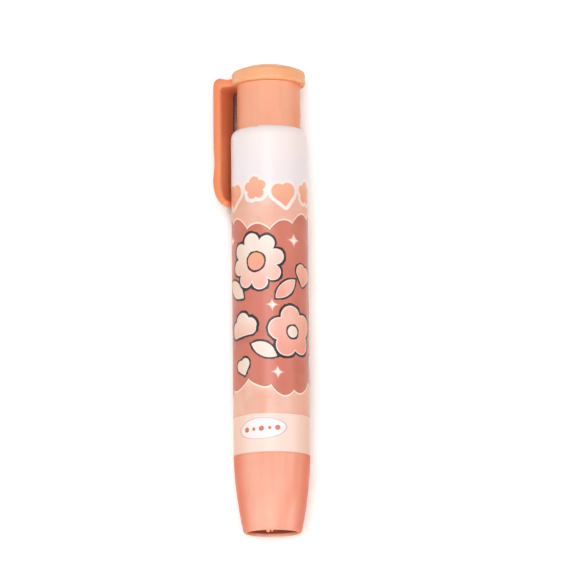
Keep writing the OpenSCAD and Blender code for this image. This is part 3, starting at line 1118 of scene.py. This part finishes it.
# On the cap the rubbed edges are set strong: they are wear, and also a painted highlight along the lip.
CAP_PLASTIC = MouldedPlastic(
    "cap_plastic", shade(254, 186, 138), shade(249, 165, 108), shade(255, 220, 190), rubbed=0.8)
CLIP_PLASTIC = MouldedPlastic(
    "clip_plastic", shade(246, 152, 108), shade(238, 138, 94), shade(255, 184, 148))
WHITE_PLASTIC = MouldedPlastic(
    "white_plastic", shade(250, 243, 242), shade(244, 234, 232), shade(255, 252, 250), glow=0.2)
CHUCK_PLASTIC = MouldedPlastic(
    "chuck_plastic", shade(238, 234, 226), shade(226, 220, 210), shade(248, 245, 240), clean=0.42,
    smudged=0.55)
ERASER_RUBBER = Rubber("eraser_rubber", shade(246, 244, 240), shade(232, 229, 224))
RING_RUBBER = Rubber("ring_rubber", shade(70, 70, 74), shade(52, 52, 56), rough=0.66, glow=0.0)
SPRING_STEEL = WorkedMetal(
    "spring_steel", shade(205, 205, 208), shade(170, 170, 176), 0.24, (1.0, 1.0, 1.0))
CLUTCH_BRASS = WorkedMetal(
    "clutch_brass", shade(214, 176, 106), shade(180, 142, 82), 0.22, (0.05, 1.0, 0.05))


# Turned and swept shapes

@dataclass(frozen=True)
class Corner:
    """A corner of a turned piece's outline, in millimetres.

    Attributes:
        radius: Distance from the stick's axis.
        along: Height along the axis.
        rounding: Width of its rounding, 0 for none.
        segments: Faces across the rounding.
    """

    radius: float
    along: float
    rounding: float = 0.0
    segments: int = 3


def corners(*items: tuple) -> list[Corner]:
    """Corners from their radius, height, rounding and segments."""
    return [Corner(*item) for item in items]


def snap_bead(radius: float, proud: float, wide: float, middle: float) -> list[Corner]:
    """Corners of a snap bead that stands proud of a side, from its lower edge to its upper."""
    return corners((radius, middle - wide / 2.0), (radius + proud, middle - wide / 4.0),
                   (radius + proud, middle + wide / 4.0), (radius, middle + wide / 2.0))


def arc(radius: float, along: float, wide: float, high: float, start: float, end: float, steps: int
        ) -> list[Corner]:
    """Corners along an elliptic arc round a centre, its angles in degrees from straight out."""
    angles = [math.radians(start + (end - start) * i / steps) for i in range(steps + 1)]
    return [Corner(radius + wide * math.cos(a), along + high * math.sin(a)) for a in angles]


def bevel(mesh: BMesh, edges: list[bmesh.types.BMEdge], offset: float, segments: int) -> None:
    """Round edges by an offset in millimetres."""
    bmesh.ops.bevel(mesh, geom=edges, offset=offset, segments=segments, profile=0.5, affect="EDGES",
                    material=-1)


def level_edges(mesh: BMesh, axis: int) -> list[bmesh.types.BMEdge]:
    """Edges whose two ends lie at the same place along an axis."""
    return [edge for edge in mesh.edges
            if abs(edge.verts[0].co[axis] - edge.verts[1].co[axis]) < SAME_PLACE]


def turn(outline: list[Corner], closed: bool = True) -> BMesh:
    """Turn an outline round the stick's axis.

    Args:
        outline: Its corners.
        closed: Whether the last corner joins the first; an open outline ends on the axis.

    Returns:
        The mesh in millimetres.
    """
    mesh = bmesh.new()
    ring = [mesh.verts.new((corner.radius, corner.along, 0.0)) for corner in outline]
    following = ring[1:] + ring[:1] if closed else ring[1:]
    edges = [mesh.edges.new(pair) for pair in zip(ring, following)]
    bmesh.ops.spin(mesh, geom=ring + edges, cent=(0.0, 0.0, 0.0), axis=(0.0, 1.0, 0.0),
                   angle=2.0 * math.pi, steps=TURN_STEPS, use_merge=True)
    bmesh.ops.remove_doubles(mesh, verts=mesh.verts, dist=SAME_PLACE)
    bmesh.ops.recalc_face_normals(mesh, faces=mesh.faces)

    def at(vert: bmesh.types.BMVert, corner: Corner) -> bool:
        """Tell whether a vertex lies on a corner's ring."""
        off = abs(math.hypot(vert.co.x, vert.co.z) - corner.radius)
        return off < SAME_PLACE and abs(vert.co.y - corner.along) < SAME_PLACE

    for corner in outline:
        if corner.rounding > 0.0:
            rings = [edge for edge in mesh.edges if all(at(vert, corner) for vert in edge.verts)]
            bevel(mesh, rings, corner.rounding, corner.segments)
    return mesh


def extruded(points: list[tuple[float, float]], wide: float) -> BMesh:
    """Extrude a side view evenly to both sides.

    Args:
        points: Its corners, as x and height.
        wide: Width of the solid.

    Returns:
        The solid.
    """
    mesh = bmesh.new()
    side = mesh.faces.new([mesh.verts.new((x, y, -wide / 2.0)) for x, y in points])
    out = bmesh.ops.extrude_face_region(mesh, geom=[side])
    verts = [item for item in out["geom"] if isinstance(item, bmesh.types.BMVert)]
    bmesh.ops.translate(mesh, verts=verts, vec=(0.0, 0.0, wide))
    bmesh.ops.recalc_face_normals(mesh, faces=mesh.faces)
    return mesh


# Objects

def put(name: str, source: BMesh | bpy.types.ID) -> bpy.types.Object:
    """Put an object in the scene.

    Args:
        name: Its name.
        source: A mesh in the making, which is freed, or the data of a lamp or a camera.

    Returns:
        The object.
    """
    data = source
    if isinstance(source, BMesh):
        data = bpy.data.meshes.new(name)
        source.to_mesh(data)
        source.free()
    made = bpy.data.objects.new(name, data)
    bpy.context.scene.collection.objects.link(made)
    return made


def stand(thing: bpy.types.Object, place: Vector, axes: tuple[Vector, Vector, Vector]) -> None:
    """Stand a lamp or a camera at a place, by its right, its up and its back."""
    thing.matrix_world = Matrix.Translation(place) @ Matrix(axes).transposed().to_4x4()


def combine(body: BMesh, other: BMesh, operation: str) -> BMesh:
    """Cut one solid out of another, or join the two.

    Args:
        body: The solid, which is freed.
        other: The other solid, which is freed.
        operation: DIFFERENCE or UNION.

    Returns:
        The new solid.
    """
    solid, second = put("solid", body), put("solid", other)
    modifier = solid.modifiers.new("combine", "BOOLEAN")
    modifier.object, modifier.operation, modifier.solver = second, operation, "EXACT"
    result = bmesh.new()
    result.from_object(solid, bpy.context.evaluated_depsgraph_get())
    for item in (solid, second):
        bpy.data.meshes.remove(item.data)
    return result


@dataclass(frozen=True)
class Stick:
    """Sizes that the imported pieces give, in millimetres, and the roll at which the stick lies."""

    film_r: float
    barrel_r: float
    tube_r: float
    cap_r: float
    spigot_top: float
    seam: float
    barrel_top: float
    tube_low: float
    tube_top: float
    plug_low: float
    crown_top: float
    refill_low: float
    refill_top: float
    refill_r: float
    roll: float

    @classmethod
    def from_frame(cls) -> "Stick":
        """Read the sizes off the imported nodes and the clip's hinge.

        Returns:
            The sizes.
        """
        def reach(node: str) -> float:
            """Largest distance of a node from the axis."""
            verts = frame["nodes"][node].data.vertices
            return round(max(math.hypot(v.co.x, v.co.z) for v in verts) / MM, 2)

        def span(node: str) -> tuple[float, float]:
            """Lowest and highest place of a node along the axis."""
            low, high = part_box(node)
            return round(low.y / MM, 3), round(high.y / MM, 3)

        hinge = next(j for j in frame["joints"] if j["name"] == "clip_flex")["axis"]
        tube, refill = span("push_tube"), span("eraser_refill")
        return cls(film_r=reach("printed_film"), barrel_r=reach("barrel"), tube_r=reach("push_tube"),
                   cap_r=reach("end_cap"), spigot_top=span("nose_cone")[1], seam=span("barrel")[0],
                   barrel_top=span("barrel")[1], tube_low=tube[0], tube_top=tube[1],
                   plug_low=span("end_cap")[0], crown_top=span("end_cap")[1], refill_low=refill[0],
                   refill_top=refill[1], refill_r=reach("eraser_refill"),
                   roll=math.atan2(hinge[0], -hinge[2]))


class Workshop:
    """Turns finished meshes into pieces that ride on the frame, and reports them."""

    def __init__(self) -> None:
        """Read the stick's sizes and build the effects."""
        self.stick, self.effects = Stick.from_frame(), Effects()

    def piece(self, name: str, mesh: BMesh, finish: Finish, body: str, node: str
              ) -> bpy.types.Object:
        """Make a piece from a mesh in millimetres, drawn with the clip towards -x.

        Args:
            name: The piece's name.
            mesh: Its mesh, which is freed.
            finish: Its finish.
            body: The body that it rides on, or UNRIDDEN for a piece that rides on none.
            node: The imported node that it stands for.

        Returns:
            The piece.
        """
        lay = Matrix.Rotation(-self.stick.roll, 4, "Y") @ Matrix.Scale(MM, 4)
        bmesh.ops.transform(mesh, matrix=lay, verts=mesh.verts)
        for face in mesh.faces:
            face.smooth = True
        made = put(name, mesh)
        made.data.set_sharp_from_angle(angle=SMOOTH_BELOW)
        made.data.materials.append(finish.make(self.effects))
        if body in frame["bodies"]:
            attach(made, body)
        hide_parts(node)
        LOG.info("%s: %d faces, on %s", name, len(made.data.polygons), body)
        return made

    def dress(self, node: str, finish: Finish) -> None:
        """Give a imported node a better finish.

        Args:
            node: The node.
            finish: Its finish.
        """
        material = finish.make(self.effects)
        for holder in frame["nodes"][node].material_slots:
            holder.material = material
        LOG.info("%s: packed node with the finish %s", node, finish.name)


# Sub-assemblies

class SubAssembly(ABC):
    """Pieces that are built together."""

    @abstractmethod
    def build(self, shop: Workshop) -> None:
        """Build the pieces in the workshop."""


@dataclass(frozen=True)
class Nose(SubAssembly):
    """The nose with its mouth and its friction ring, sizes in millimetres."""

    taper: float = 2.0
    lead: float = 1.8
    rim_round: float = 0.38
    mouth_r: float = 5.25
    mouth_bevel: float = 0.34
    seam_bevel: float = 0.12
    spigot_r: float = 7.07
    spigot_bevel: float = 0.25
    bead: float = 0.15
    bead_width: float = 0.8
    ring_room_r: float = 6.44
    ring_stop: float = 19.1
    jaw_room_r: float = 6.2
    room_floor: float = 9.1
    cone: float = 1.2
    groove_low: float = 3.0
    groove_high: float = 5.0
    groove_r: float = 5.98
    nub_along: float = -0.08
    nub_out: float = 0.1

    NUBS = ((-0.9, 0.4), (-0.1, 0.24))
    NUB_FORM = (0.9, 1.0, 0.6, 1.0)
    CURVE_STEPS = 22

    def outline(self, stick: Stick) -> list[Corner]:
        """Draw the nose's outline.

        Args:
            stick: The stick's sizes.

        Returns:
            Its corners, from the rim round the outside, the spigot and the bore.
        """
        lean = math.degrees(math.atan2(self.taper, stick.seam))
        bow = math.hypot(self.taper, stick.seam) / (2.0 * math.sin(math.radians(lean - self.lead)))
        lead = math.radians(self.lead)
        curve = arc(stick.film_r - bow * math.cos(lead), stick.seam + bow * math.sin(lead), bow, bow,
                    self.lead - 2.0 * lean, -self.lead, self.CURVE_STEPS)
        rim, seam = curve[0], curve[-1]
        spigot = snap_bead(self.spigot_r, self.bead, self.bead_width, (stick.seam + stick.spigot_top) / 2.0)
        return (corners((rim.radius, 0.0, self.rim_round, 5)) + curve[1:-1]
                + corners((seam.radius, seam.along, self.seam_bevel, 2), (self.spigot_r, stick.seam))
                + spigot
                + corners((self.spigot_r, stick.spigot_top, self.spigot_bevel, 1),
                          (self.ring_room_r, stick.spigot_top),
                          (self.ring_room_r, self.ring_stop), (self.jaw_room_r, self.ring_stop),
                          (self.jaw_room_r, self.room_floor), (self.mouth_r, self.room_floor - self.cone),
                          (self.mouth_r, self.groove_high), (self.groove_r, self.groove_high),
                          (self.groove_r, self.groove_low), (self.mouth_r, self.groove_low),
                          (self.mouth_r, 0.0, self.mouth_bevel, 3)))

    def build(self, shop: Workshop) -> None:
        """Build the nose and dress its ring.

        Args:
            shop: The workshop.
        """
        burr = bmesh.new()
        up = Matrix.Rotation(shop.stick.roll, 4, "Y")
        for across, radius in self.NUBS:
            place = Matrix.Translation((across, self.nub_along, self.mouth_r + self.nub_out))
            spot = up @ place @ Matrix.Diagonal(self.NUB_FORM)
            bmesh.ops.create_icosphere(burr, subdivisions=2, radius=radius, matrix=spot)
        whole = combine(turn(self.outline(shop.stick)), burr, "UNION")
        shop.piece("nose_shell", whole, NOSE_PLASTIC, "barrel", "nose_cone")
        shop.dress("friction_ring", RING_RUBBER)


@dataclass(frozen=True)
class Barrel(SubAssembly):
    """The barrel's tube and the film round it, sizes in millimetres."""

    shoulder_in: float = 0.92
    shoulder_len: float = 1.8
    bore_r: float = 6.75
    ledge_r: float = 5.8
    ledge_low: float = 26.4
    ledge_top: float = 28.0
    socket_r: float = 7.12
    lip_round: float = 0.08
    film_end: float = 78.0
    film_gap: float = 0.02
    step_across: float = -2.4
    step_high: float = 0.2
    step_back: float = 14.0

    def shoulder(self, stick: Stick, extra: float, end: float) -> list[Corner]:
        """Corners of the barrel's shoulder up to an end angle, the line moved out by extra."""
        return arc(stick.barrel_r - self.shoulder_in, stick.barrel_top - self.shoulder_len,
                   self.shoulder_in + extra, self.shoulder_len + extra, 0.0, end, ARC_STEPS)

    def build(self, shop: Workshop) -> None:
        """Build the tube and its film.

        Args:
            shop: The workshop.
        """
        stick = shop.stick
        tube = (corners((stick.barrel_r, stick.seam)) + self.shoulder(stick, 0.0, 90.0)
                + corners((self.bore_r, stick.barrel_top, self.lip_round, 2), (self.bore_r, self.ledge_top),
                          (self.ledge_r, self.ledge_top), (self.ledge_r, self.ledge_low),
                          (self.socket_r, self.ledge_low), (self.socket_r, stick.seam)))
        shop.piece("barrel_tube", turn(tube), WHITE_PLASTIC, "barrel", "barrel")
        thick = stick.film_r - stick.barrel_r
        low = stick.seam + self.film_gap
        outer = corners((stick.film_r, low)) + self.shoulder(stick, thick, self.film_end)
        inner = corners((stick.barrel_r, low)) + self.shoulder(stick, 0.0, self.film_end)
        mesh = turn(outer + inner[::-1])
        self.step_film(mesh, stick)
        film = PrintedFilm("printed_film", stick.film_r)
        shop.piece("film_sleeve", mesh, film, "barrel", "printed_film")

    def step_film(self, mesh: BMesh, stick: Stick) -> None:
        """Raise the film's top edge on one side of its overlap, so that it shows a small step.

        Args:
            mesh: The film's mesh.
            stick: The stick's sizes.
        """
        start = stick.barrel_top - self.shoulder_len / 2.0
        turned = Matrix.Rotation(-stick.roll, 3, "Y")
        for vert in mesh.verts:
            if vert.co.y > start:
                spot = turned @ vert.co
                across = math.atan2(spot.x, spot.z) * stick.film_r
                if self.step_across < across < self.step_back:
                    rise = (vert.co.y - start) / (stick.barrel_top - start)
                    fade = min(1.0, (self.step_back - across) / self.step_back)
                    vert.co.y += self.step_high * rise * fade


@dataclass(frozen=True)
class PushButton(SubAssembly):
    """The push tube and the cap with its plug and the clip's seat, sizes in millimetres."""

    bore_r: float = 5.7
    low_round: float = 0.15
    top_round: float = 0.08
    rim_high: float = 2.8
    rim_round: float = 0.35
    lip_round: float = 0.4
    lip_high: float = 0.75
    lip_step: float = 0.12
    plug_r: float = 5.65
    plug_bore_r: float = 4.65
    plug_bevel: float = 0.15
    plug_bore_bevel: float = 0.1
    bead: float = 0.15
    bead_width: float = 0.8
    gate_r: float = 0.8
    gate_deep: float = 0.1
    gate_bevel: float = 0.05
    gate_floor: float = 0.85
    crown_steps: int = 14
    face_gap: float = 0.05
    seat_r: float = 7.1
    seat_high: float = 1.84
    seat_wide: float = 7.24
    seat_mid: float = 95.6
    seat_over: float = 2.0

    def tube(self, stick: Stick) -> BMesh:
        """Turn the push tube.

        Args:
            stick: The stick's sizes.

        Returns:
            Its mesh.
        """
        low, top = (stick.tube_low, self.low_round, 2), (stick.tube_top, self.top_round, 2)
        return turn(corners((stick.tube_r, *low), (stick.tube_r, *top), (self.bore_r, *top),
                            (self.bore_r, *low)))

    def cap(self, stick: Stick) -> BMesh:
        """Turn the cap with its crown, rim and plug.

        Args:
            stick: The stick's sizes.

        Returns:
            Its mesh.
        """
        under = stick.tube_top + self.face_gap
        rim_top = under + self.rim_high
        crown_high = stick.crown_top - rim_top
        side_r = stick.cap_r - self.lip_step
        edge_r = side_r - self.rim_round
        bow = (edge_r ** 2 + crown_high ** 2) / (2.0 * crown_high)
        centre = stick.crown_top - bow
        start = math.degrees(math.acos(side_r / bow))
        gate = math.degrees(math.acos(self.gate_r / bow))
        crown = arc(0.0, centre, bow, bow, start, gate, self.crown_steps)
        floor = crown[-1].along - self.gate_deep
        snap = snap_bead(self.plug_r, self.bead, self.bead_width, (stick.plug_low + under) / 2.0)
        outline = corners((0.0, under), (self.plug_bore_r, under),
                          (self.plug_bore_r, stick.plug_low, self.plug_bore_bevel, 1),
                          (self.plug_r, stick.plug_low, self.plug_bevel, 1)) + snap
        outline += corners((self.plug_r, under), (stick.cap_r, under, self.lip_round, 6),
                           (stick.cap_r, under + self.lip_high),
                           (side_r, under + self.lip_high + self.lip_step / 2.0),
                           (side_r, crown[0].along, self.rim_round, 5)) + crown[1:-1]
        outline += corners((self.gate_r, crown[-1].along, self.gate_bevel, 2),
                           (self.gate_r * self.gate_floor, floor), (0.0, floor))
        return turn(outline, closed=False)

    def seat(self) -> BMesh:
        """Shape the pocket in the rim that lets the clip's arm in.

        Returns:
            A solid to cut with.
        """
        half, outside = self.seat_high / 2.0, -self.seat_r - self.seat_over
        bow = arc(-self.seat_r, self.seat_mid, half, half, -90.0, 90.0, ARC_STEPS)
        return extruded([(corner.radius, corner.along) for corner in bow]
                        + [(outside, self.seat_mid + half), (outside, self.seat_mid - half)], self.seat_wide)

    def build(self, shop: Workshop) -> None:
        """Build the push tube and the cap.

        Args:
            shop: The workshop.
        """
        tube, cap = self.tube(shop.stick), combine(self.cap(shop.stick), self.seat(), "DIFFERENCE")
        shop.piece("button_tube", tube, TUBE_PLASTIC, "push_unit", "push_tube")
        shop.piece("button_cap", cap, CAP_PLASTIC, "cap", "end_cap")


@dataclass(frozen=True)
class PocketClip(SubAssembly):
    """The clip: a blade with a waist, a swell and a hook, and the arm to its pivot, in millimetres."""

    wide: float = 7.0
    inner_r: float = 9.6
    outer_r: float = 11.5
    swell_r: float = 11.65
    waist_r: float = 11.3
    swell_at: float = 74.8
    waist_at: float = 78.8
    straight_at: float = 82.8
    hook_at: float = 69.3
    hook_r: float = 8.15
    hook_tip: float = 1.3
    hook_run: float = 5.9
    top: float = 97.1
    crown: float = 2.2
    top_drop: float = 0.5
    top_lean: float = 0.5
    corner: float = 1.2
    edge: float = 0.7
    corner_steps: int = 8
    edge_steps: int = 5
    lengths: int = 44
    arm_low: float = 94.8
    arm_top: float = 96.4
    arm_inset: float = 0.1
    arm_edge: float = 0.32
    arm_steps: int = 4
    arm_fillet: float = 0.6
    fillet_steps: int = 5
    arm_slope: float = 1.5
    arm_rise: float = 0.4
    pivot_r: float = 7.1

    def outer(self, along: float) -> float:
        """Work out the blade's outer face above the swell.

        Args:
            along: Height.

        Returns:
            Its distance from the stick's axis.
        """
        start, end, low, high = self.swell_at, self.waist_at, self.swell_r, self.waist_r
        if along >= self.waist_at:
            start, end, low, high = self.waist_at, self.straight_at, self.waist_r, self.outer_r
        share = (along - start) / (end - start)
        ease = 0.5 - 0.5 * math.cos(math.pi * min(1.0, max(0.0, share)))
        return low + (high - low) * ease

    def bend(self, along: float, depth: float) -> tuple[float, float]:
        """Bend a point of the flat blade to its place.

        Args:
            along: Place along the flat blade, its hook straightened.
            depth: Share of the thickness from the inner face, 0 to 1.

        Returns:
            Distance from the stick's axis and height.
        """
        swell_in = self.inner_r + self.swell_r - self.outer_r
        if along >= self.swell_at:
            share = min(1.0, (along - self.swell_at) / (self.straight_at - self.swell_at))
            inner = swell_in + (self.inner_r - swell_in) * share
            return inner + (self.outer(along) - inner) * depth, along
        angle = math.pi / 2.0 * (self.swell_at - along) / self.hook_run
        fall = self.swell_at - self.hook_at
        inner = (self.hook_r + (swell_in - self.hook_r) * math.cos(angle),
                 self.swell_at - (fall - self.hook_tip) * math.sin(angle))
        outer = (self.hook_r + (self.swell_r - self.hook_r) * math.cos(angle),
                 self.swell_at - fall * math.sin(angle))
        return inner[0] + (outer[0] - inner[0]) * depth, inner[1] + (outer[1] - inner[1]) * depth

    def blade(self) -> BMesh:
        """Shape the blade from a flat block: round its corners and edges, then bend it.

        Returns:
            The blade.
        """
        mesh = bmesh.new()
        low, thick = self.swell_at - self.hook_run, self.outer_r - self.inner_r
        size = Matrix.Diagonal((thick, self.top - low, self.wide, 1.0))
        middle = Matrix.Translation((-self.inner_r - thick / 2.0, (self.top + low) / 2.0, 0.0))
        bmesh.ops.create_cube(mesh, size=1.0, matrix=middle @ size)
        flat = level_edges(mesh, 0)
        bevel(mesh, [edge for edge in mesh.edges if edge not in flat], self.corner, self.corner_steps)
        bevel(mesh, level_edges(mesh, 0), self.edge, self.edge_steps)
        for i in range(1, self.lengths):
            bmesh.ops.bisect_plane(mesh, geom=mesh.verts[:] + mesh.edges[:] + mesh.faces[:], dist=SAME_PLACE,
                                   plane_co=(0.0, low + (self.top - low) * i / self.lengths, 0.0),
                                   plane_no=(0.0, 1.0, 0.0))
        for vert in mesh.verts:
            depth = (-vert.co.x - self.inner_r) / thick
            curl = depth ** 2 * max(0.0, 1.0 - (self.top - vert.co.y) / self.crown) ** 2
            radius, along = self.bend(vert.co.y, depth)
            vert.co.x, vert.co.y = self.top_lean * curl - radius, along - self.top_drop * curl
        return mesh

    def arm(self) -> BMesh:
        """Shape the arm with its round pivot, its fillet and the slope to the blade's top.

        Returns:
            The arm.
        """
        half, middle = (self.arm_top - self.arm_low) / 2.0, (self.arm_top + self.arm_low) / 2.0
        inside = self.inner_r + self.edge + self.arm_inset
        pivot = arc(self.pivot_r, middle, half, half, 90.0, 270.0, ARC_STEPS)
        fillet = arc(self.inner_r - self.arm_fillet, self.arm_low - self.arm_fillet, self.arm_fillet,
                     self.arm_fillet, 90.0, 0.0, self.fillet_steps)
        points = [(-corner.radius, corner.along) for corner in pivot + fillet]
        points += [(-inside, self.arm_low - self.arm_fillet), (-inside, self.arm_top + self.arm_rise),
                   (-self.inner_r, self.arm_top + self.arm_rise),
                   (-self.inner_r + self.arm_slope, self.arm_top)]
        mesh = extruded(points, self.wide - 2.0 * self.arm_inset)
        bevel(mesh, level_edges(mesh, 2), self.arm_edge, self.arm_steps)
        return mesh

    def build(self, shop: Workshop) -> None:
        """Build the clip in the workshop."""
        whole = combine(self.blade(), self.arm(), "UNION")
        shop.piece("clip_blade", whole, CLIP_PLASTIC, "clip", "pocket_clip")


@dataclass(frozen=True)
class Works(SubAssembly):
    """What drives the eraser: chuck, clutch ring and return spring, sizes in millimetres."""

    wire_r: float = 0.35
    wire_sides: int = 10
    coil_r: float = 6.2
    low: float = 28.05
    high: float = 49.95
    turns: int = 12
    steps: int = 30

    def spring(self) -> BMesh:
        """Wind the spring from a round wire.

        Returns:
            Its mesh.
        """
        mesh = bmesh.new()
        start, rise = self.low + self.wire_r, self.high - self.low - 2.0 * self.wire_r
        wire = Matrix.Translation((self.coil_r, start, 0.0))
        bmesh.ops.create_circle(mesh, cap_ends=False, radius=self.wire_r, segments=self.wire_sides,
                                matrix=wire)
        count = self.turns * self.steps
        bmesh.ops.spin(mesh, geom=mesh.verts[:] + mesh.edges[:], cent=(0.0, 0.0, 0.0), axis=(0.0, 1.0, 0.0),
                       dvec=(0.0, rise / count, 0.0), angle=2.0 * math.pi * self.turns, steps=count,
                       use_merge=False)
        bmesh.ops.holes_fill(mesh, edges=mesh.edges)
        bmesh.ops.recalc_face_normals(mesh, faces=mesh.faces)
        return mesh

    def build(self, shop: Workshop) -> None:
        """Build the spring and dress the chuck and the ring.

        Args:
            shop: The workshop.
        """
        made = shop.piece("spring_coil", self.spring(), SPRING_STEEL, UNRIDDEN, "return_spring")
        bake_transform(made)
        shop.dress("clutch_ring", CLUTCH_BRASS)
        shop.dress("chuck", CHUCK_PLASTIC)


@dataclass(frozen=True)
class Eraser(SubAssembly):
    """The eraser stick, sizes in millimetres."""

    edge: float = 0.5
    ring: float = 0.5

    def build(self, shop: Workshop) -> None:
        """Build the eraser, with a ring of vertices at a share of its radius on each end.

        Args:
            shop: The workshop.
        """
        stick = shop.stick
        low, high, radius = stick.refill_low, stick.refill_top, stick.refill_r
        outline = corners((0.0, low), (radius * self.ring, low), (radius, low, self.edge, 4),
                          (radius, high, self.edge, 4), (radius * self.ring, high), (0.0, high))
        shop.piece("eraser_stick", turn(outline, closed=False), ERASER_RUBBER, "eraser", "eraser_refill")


# Studio

@dataclass(frozen=True)
class PhotoCamera:
    """The photograph's camera, as fitted to the rims of the stick.

    Attributes:
        aim: Point of the stick's axis that the fit is made for, in metres from the nose's rim.
        distance: Distance from that point in metres.
        elevation: Camera's height above the horizon in degrees.
        focal: Focal length in pixels of the picture's frame.
        pixel: Where the point shows in the picture.
        frame_size: Side of the picture in pixels.
        lean: Lean of the stick to the left, in degrees.
    """

    aim: float = 0.0494
    distance: float = 1.1
    elevation: float = 79.8
    focal: float = 5265.0
    pixel: tuple[float, float] = (270.5, 298.65)
    frame_size: float = 576.0
    lean: float = 0.58

    def build(self) -> None:
        """Set the camera up."""
        rise = math.radians(self.elevation)
        back = Vector((0.0, -math.cos(rise), math.sin(rise)))
        right = Vector((1.0, 0.0, 0.0))
        up = back.cross(right)
        lean = math.radians(-self.lean)
        cosine, sine = math.cos(lean), math.sin(lean)
        right, up = right * cosine + up * sine, up * cosine - right * sine
        off = [(place - self.frame_size / 2.0) * self.distance / self.focal for place in self.pixel]
        place = Vector((0.0, self.aim, 0.0)) + back * self.distance - right * off[0] + up * off[1]
        data = bpy.data.cameras.new("photo_camera")
        data.sensor_width = 36.0
        data.lens = self.focal / self.frame_size * data.sensor_width
        data.dof.use_dof = False
        camera = put("photo_camera", data)
        stand(camera, place, (right, up, back))
        bpy.context.scene.camera = camera


@dataclass(frozen=True)
class Softbox:
    """A soft lamp that faces the stick.

    Attributes:
        name: Its name.
        side: Angle from straight up, in degrees, positive to the right.
        along: Angle of its lean towards the button, in degrees.
        distance: Distance in metres.
        size: Width across the stick and length along it, in metres.
        power: Power in watts.
        colour: Colour of its light.
    """

    name: str
    side: float
    along: float
    distance: float
    size: tuple[float, float]
    power: float
    colour: tuple[float, float, float] = (1.0, 1.0, 1.0)

    def build(self, centre: Vector) -> None:
        """Hang the lamp.

        Args:
            centre: What it faces.
        """
        side, lean = math.radians(self.side), math.radians(self.along)
        back = Vector((math.sin(side) * math.cos(lean), math.sin(lean), math.cos(side) * math.cos(lean)))
        right = Vector((0.0, 1.0, 0.0)).cross(back).normalized()
        up = back.cross(right)
        data = bpy.data.lights.new(self.name, "AREA")
        data.shape, data.size, data.size_y = "RECTANGLE", self.size[0], self.size[1]
        data.energy, data.color = self.power, self.colour
        lamp = put(self.name, data)
        stand(lamp, centre + back * self.distance, (right, up, back))
        lamp.visible_camera = False


@dataclass(frozen=True)
class Studio:
    """The pale table, the sky and the lamps.

    Attributes:
        sky: Strength of the even light.
        sky_colour: Its colour.
        table_level: Height of the table in metres.
        table_size: Half size of the table in metres.
        lift: Light that the camera sees added to the open table.
        contact: How far from the stick its contact shadow holds that light back, in metres.
    """

    sky: float = 0.25
    sky_colour: tuple[float, float, float] = (1.0, 0.82, 0.72)
    table_level: float = -0.008
    table_size: float = 3.0
    lift: float = 0.6
    contact: float = 0.007

    SHADE = (0.2, 0.06, 0.03, 1.0)
    PAPERS = ((0.84, 0.84, 0.84, 1.0), (0.85, 0.845, 0.84, 1.0))
    CLOUDS = (14.0, 3.0, 0.35, 0.7)
    OPEN_FROM = (0.3, 0.52)
    LIFT_FALL = 1.5
    ROUGH = 0.85
    SHINE = 0.1
    LAMPS = (
        Softbox("overhead_box", -5.0, -3.0, 1.2, (0.6, 0.8), 8.75, (0.98, 1.0, 1.01)),
        Softbox("left_box", -54.0, -3.0, 1.2, (0.6, 0.8), 2.0, (0.98, 1.0, 1.01)),
        Softbox("right_warm_box", 58.0, -3.0, 1.2, (0.6, 0.8), 2.8, (1.0, 0.85, 0.79)),
        Softbox("front_box", -4.0, -62.0, 1.2, (0.6, 0.4), 2.8, (1.0, 0.94, 0.88)),
    )

    def build(self) -> None:
        """Build the studio."""
        scene = bpy.context.scene
        scene.view_settings.view_transform = "Standard"
        self._sky(scene)
        self._table()
        low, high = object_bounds()
        for lamp in self.LAMPS:
            lamp.build((low + high) / 2.0)
        PhotoCamera().build()

    def _sky(self, scene: bpy.types.Scene) -> None:
        """Light the scene evenly and show the camera plain white.

        Args:
            scene: The scene.
        """
        world = bpy.data.worlds.new("sky")
        scene.world = world
        world.use_nodes = True
        graph = Graph(world.node_tree)
        shown = self._seen(graph)
        graph.wire(world.node_tree.nodes["Background"],
                   Strength=graph.math("MULTIPLY_ADD", shown, 1.0 - self.sky, self.sky),
                   Color=graph.mix(shown, (*self.sky_colour, 1.0), WHITE))

    @staticmethod
    def _seen(graph: Graph) -> Socket:
        """Mask what the camera sees, straight, in a mirror reflection or through glass.

        Args:
            graph: The tree that the mask is for.

        Returns:
            The mask, 1 for those rays.
        """
        path = graph.node("ShaderNodeLightPath").outputs
        through = graph.math("MAXIMUM", path["Is Glossy Ray"], path["Is Transmission Ray"])
        return graph.math("MAXIMUM", path["Is Camera Ray"], through)

    def _table(self) -> None:
        """Lay the pale table top, with the stick's contact shadow in its colour and its added light."""
        mesh = bmesh.new()
        bmesh.ops.create_grid(mesh, x_segments=2, y_segments=2, size=self.table_size)
        bmesh.ops.translate(mesh, verts=mesh.verts, vec=(0.0, 0.0, self.table_level))
        table = put("table", mesh)
        table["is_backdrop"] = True
        paint = Paint("pale_table")
        paper = paint.mix(paint.patches(paint.place, *self.CLOUDS), *self.PAPERS)
        occlusion = paint.node("ShaderNodeAmbientOcclusion", samples=8)
        near = paint.wire(occlusion, Distance=self.contact).outputs["AO"]
        bare = paint.step(near, *self.OPEN_FROM)
        lift = paint.times(paint.times(paint.math("POWER", near, self.LIFT_FALL), self.lift), bare)
        paint.surface(Base_Color=paint.mix(bare, self.SHADE, paper), Roughness=self.ROUGH,
                      Specular_IOR_Level=self.SHINE, Emission_Color=WHITE,
                      Emission_Strength=paint.times(self._seen(paint), lift))
        table.data.materials.append(paint.material)


def main() -> None:
    """Build the stick piece by piece, light it and report what was made."""
    logging.basicConfig(level=logging.INFO, format="%(message)s")
    shop = Workshop()
    for part in (Nose(), Barrel(), PushButton(), PocketClip(), Works(), Eraser()):
        part.build(shop)
    Studio().build()


if __name__ == "__main__":
    main()
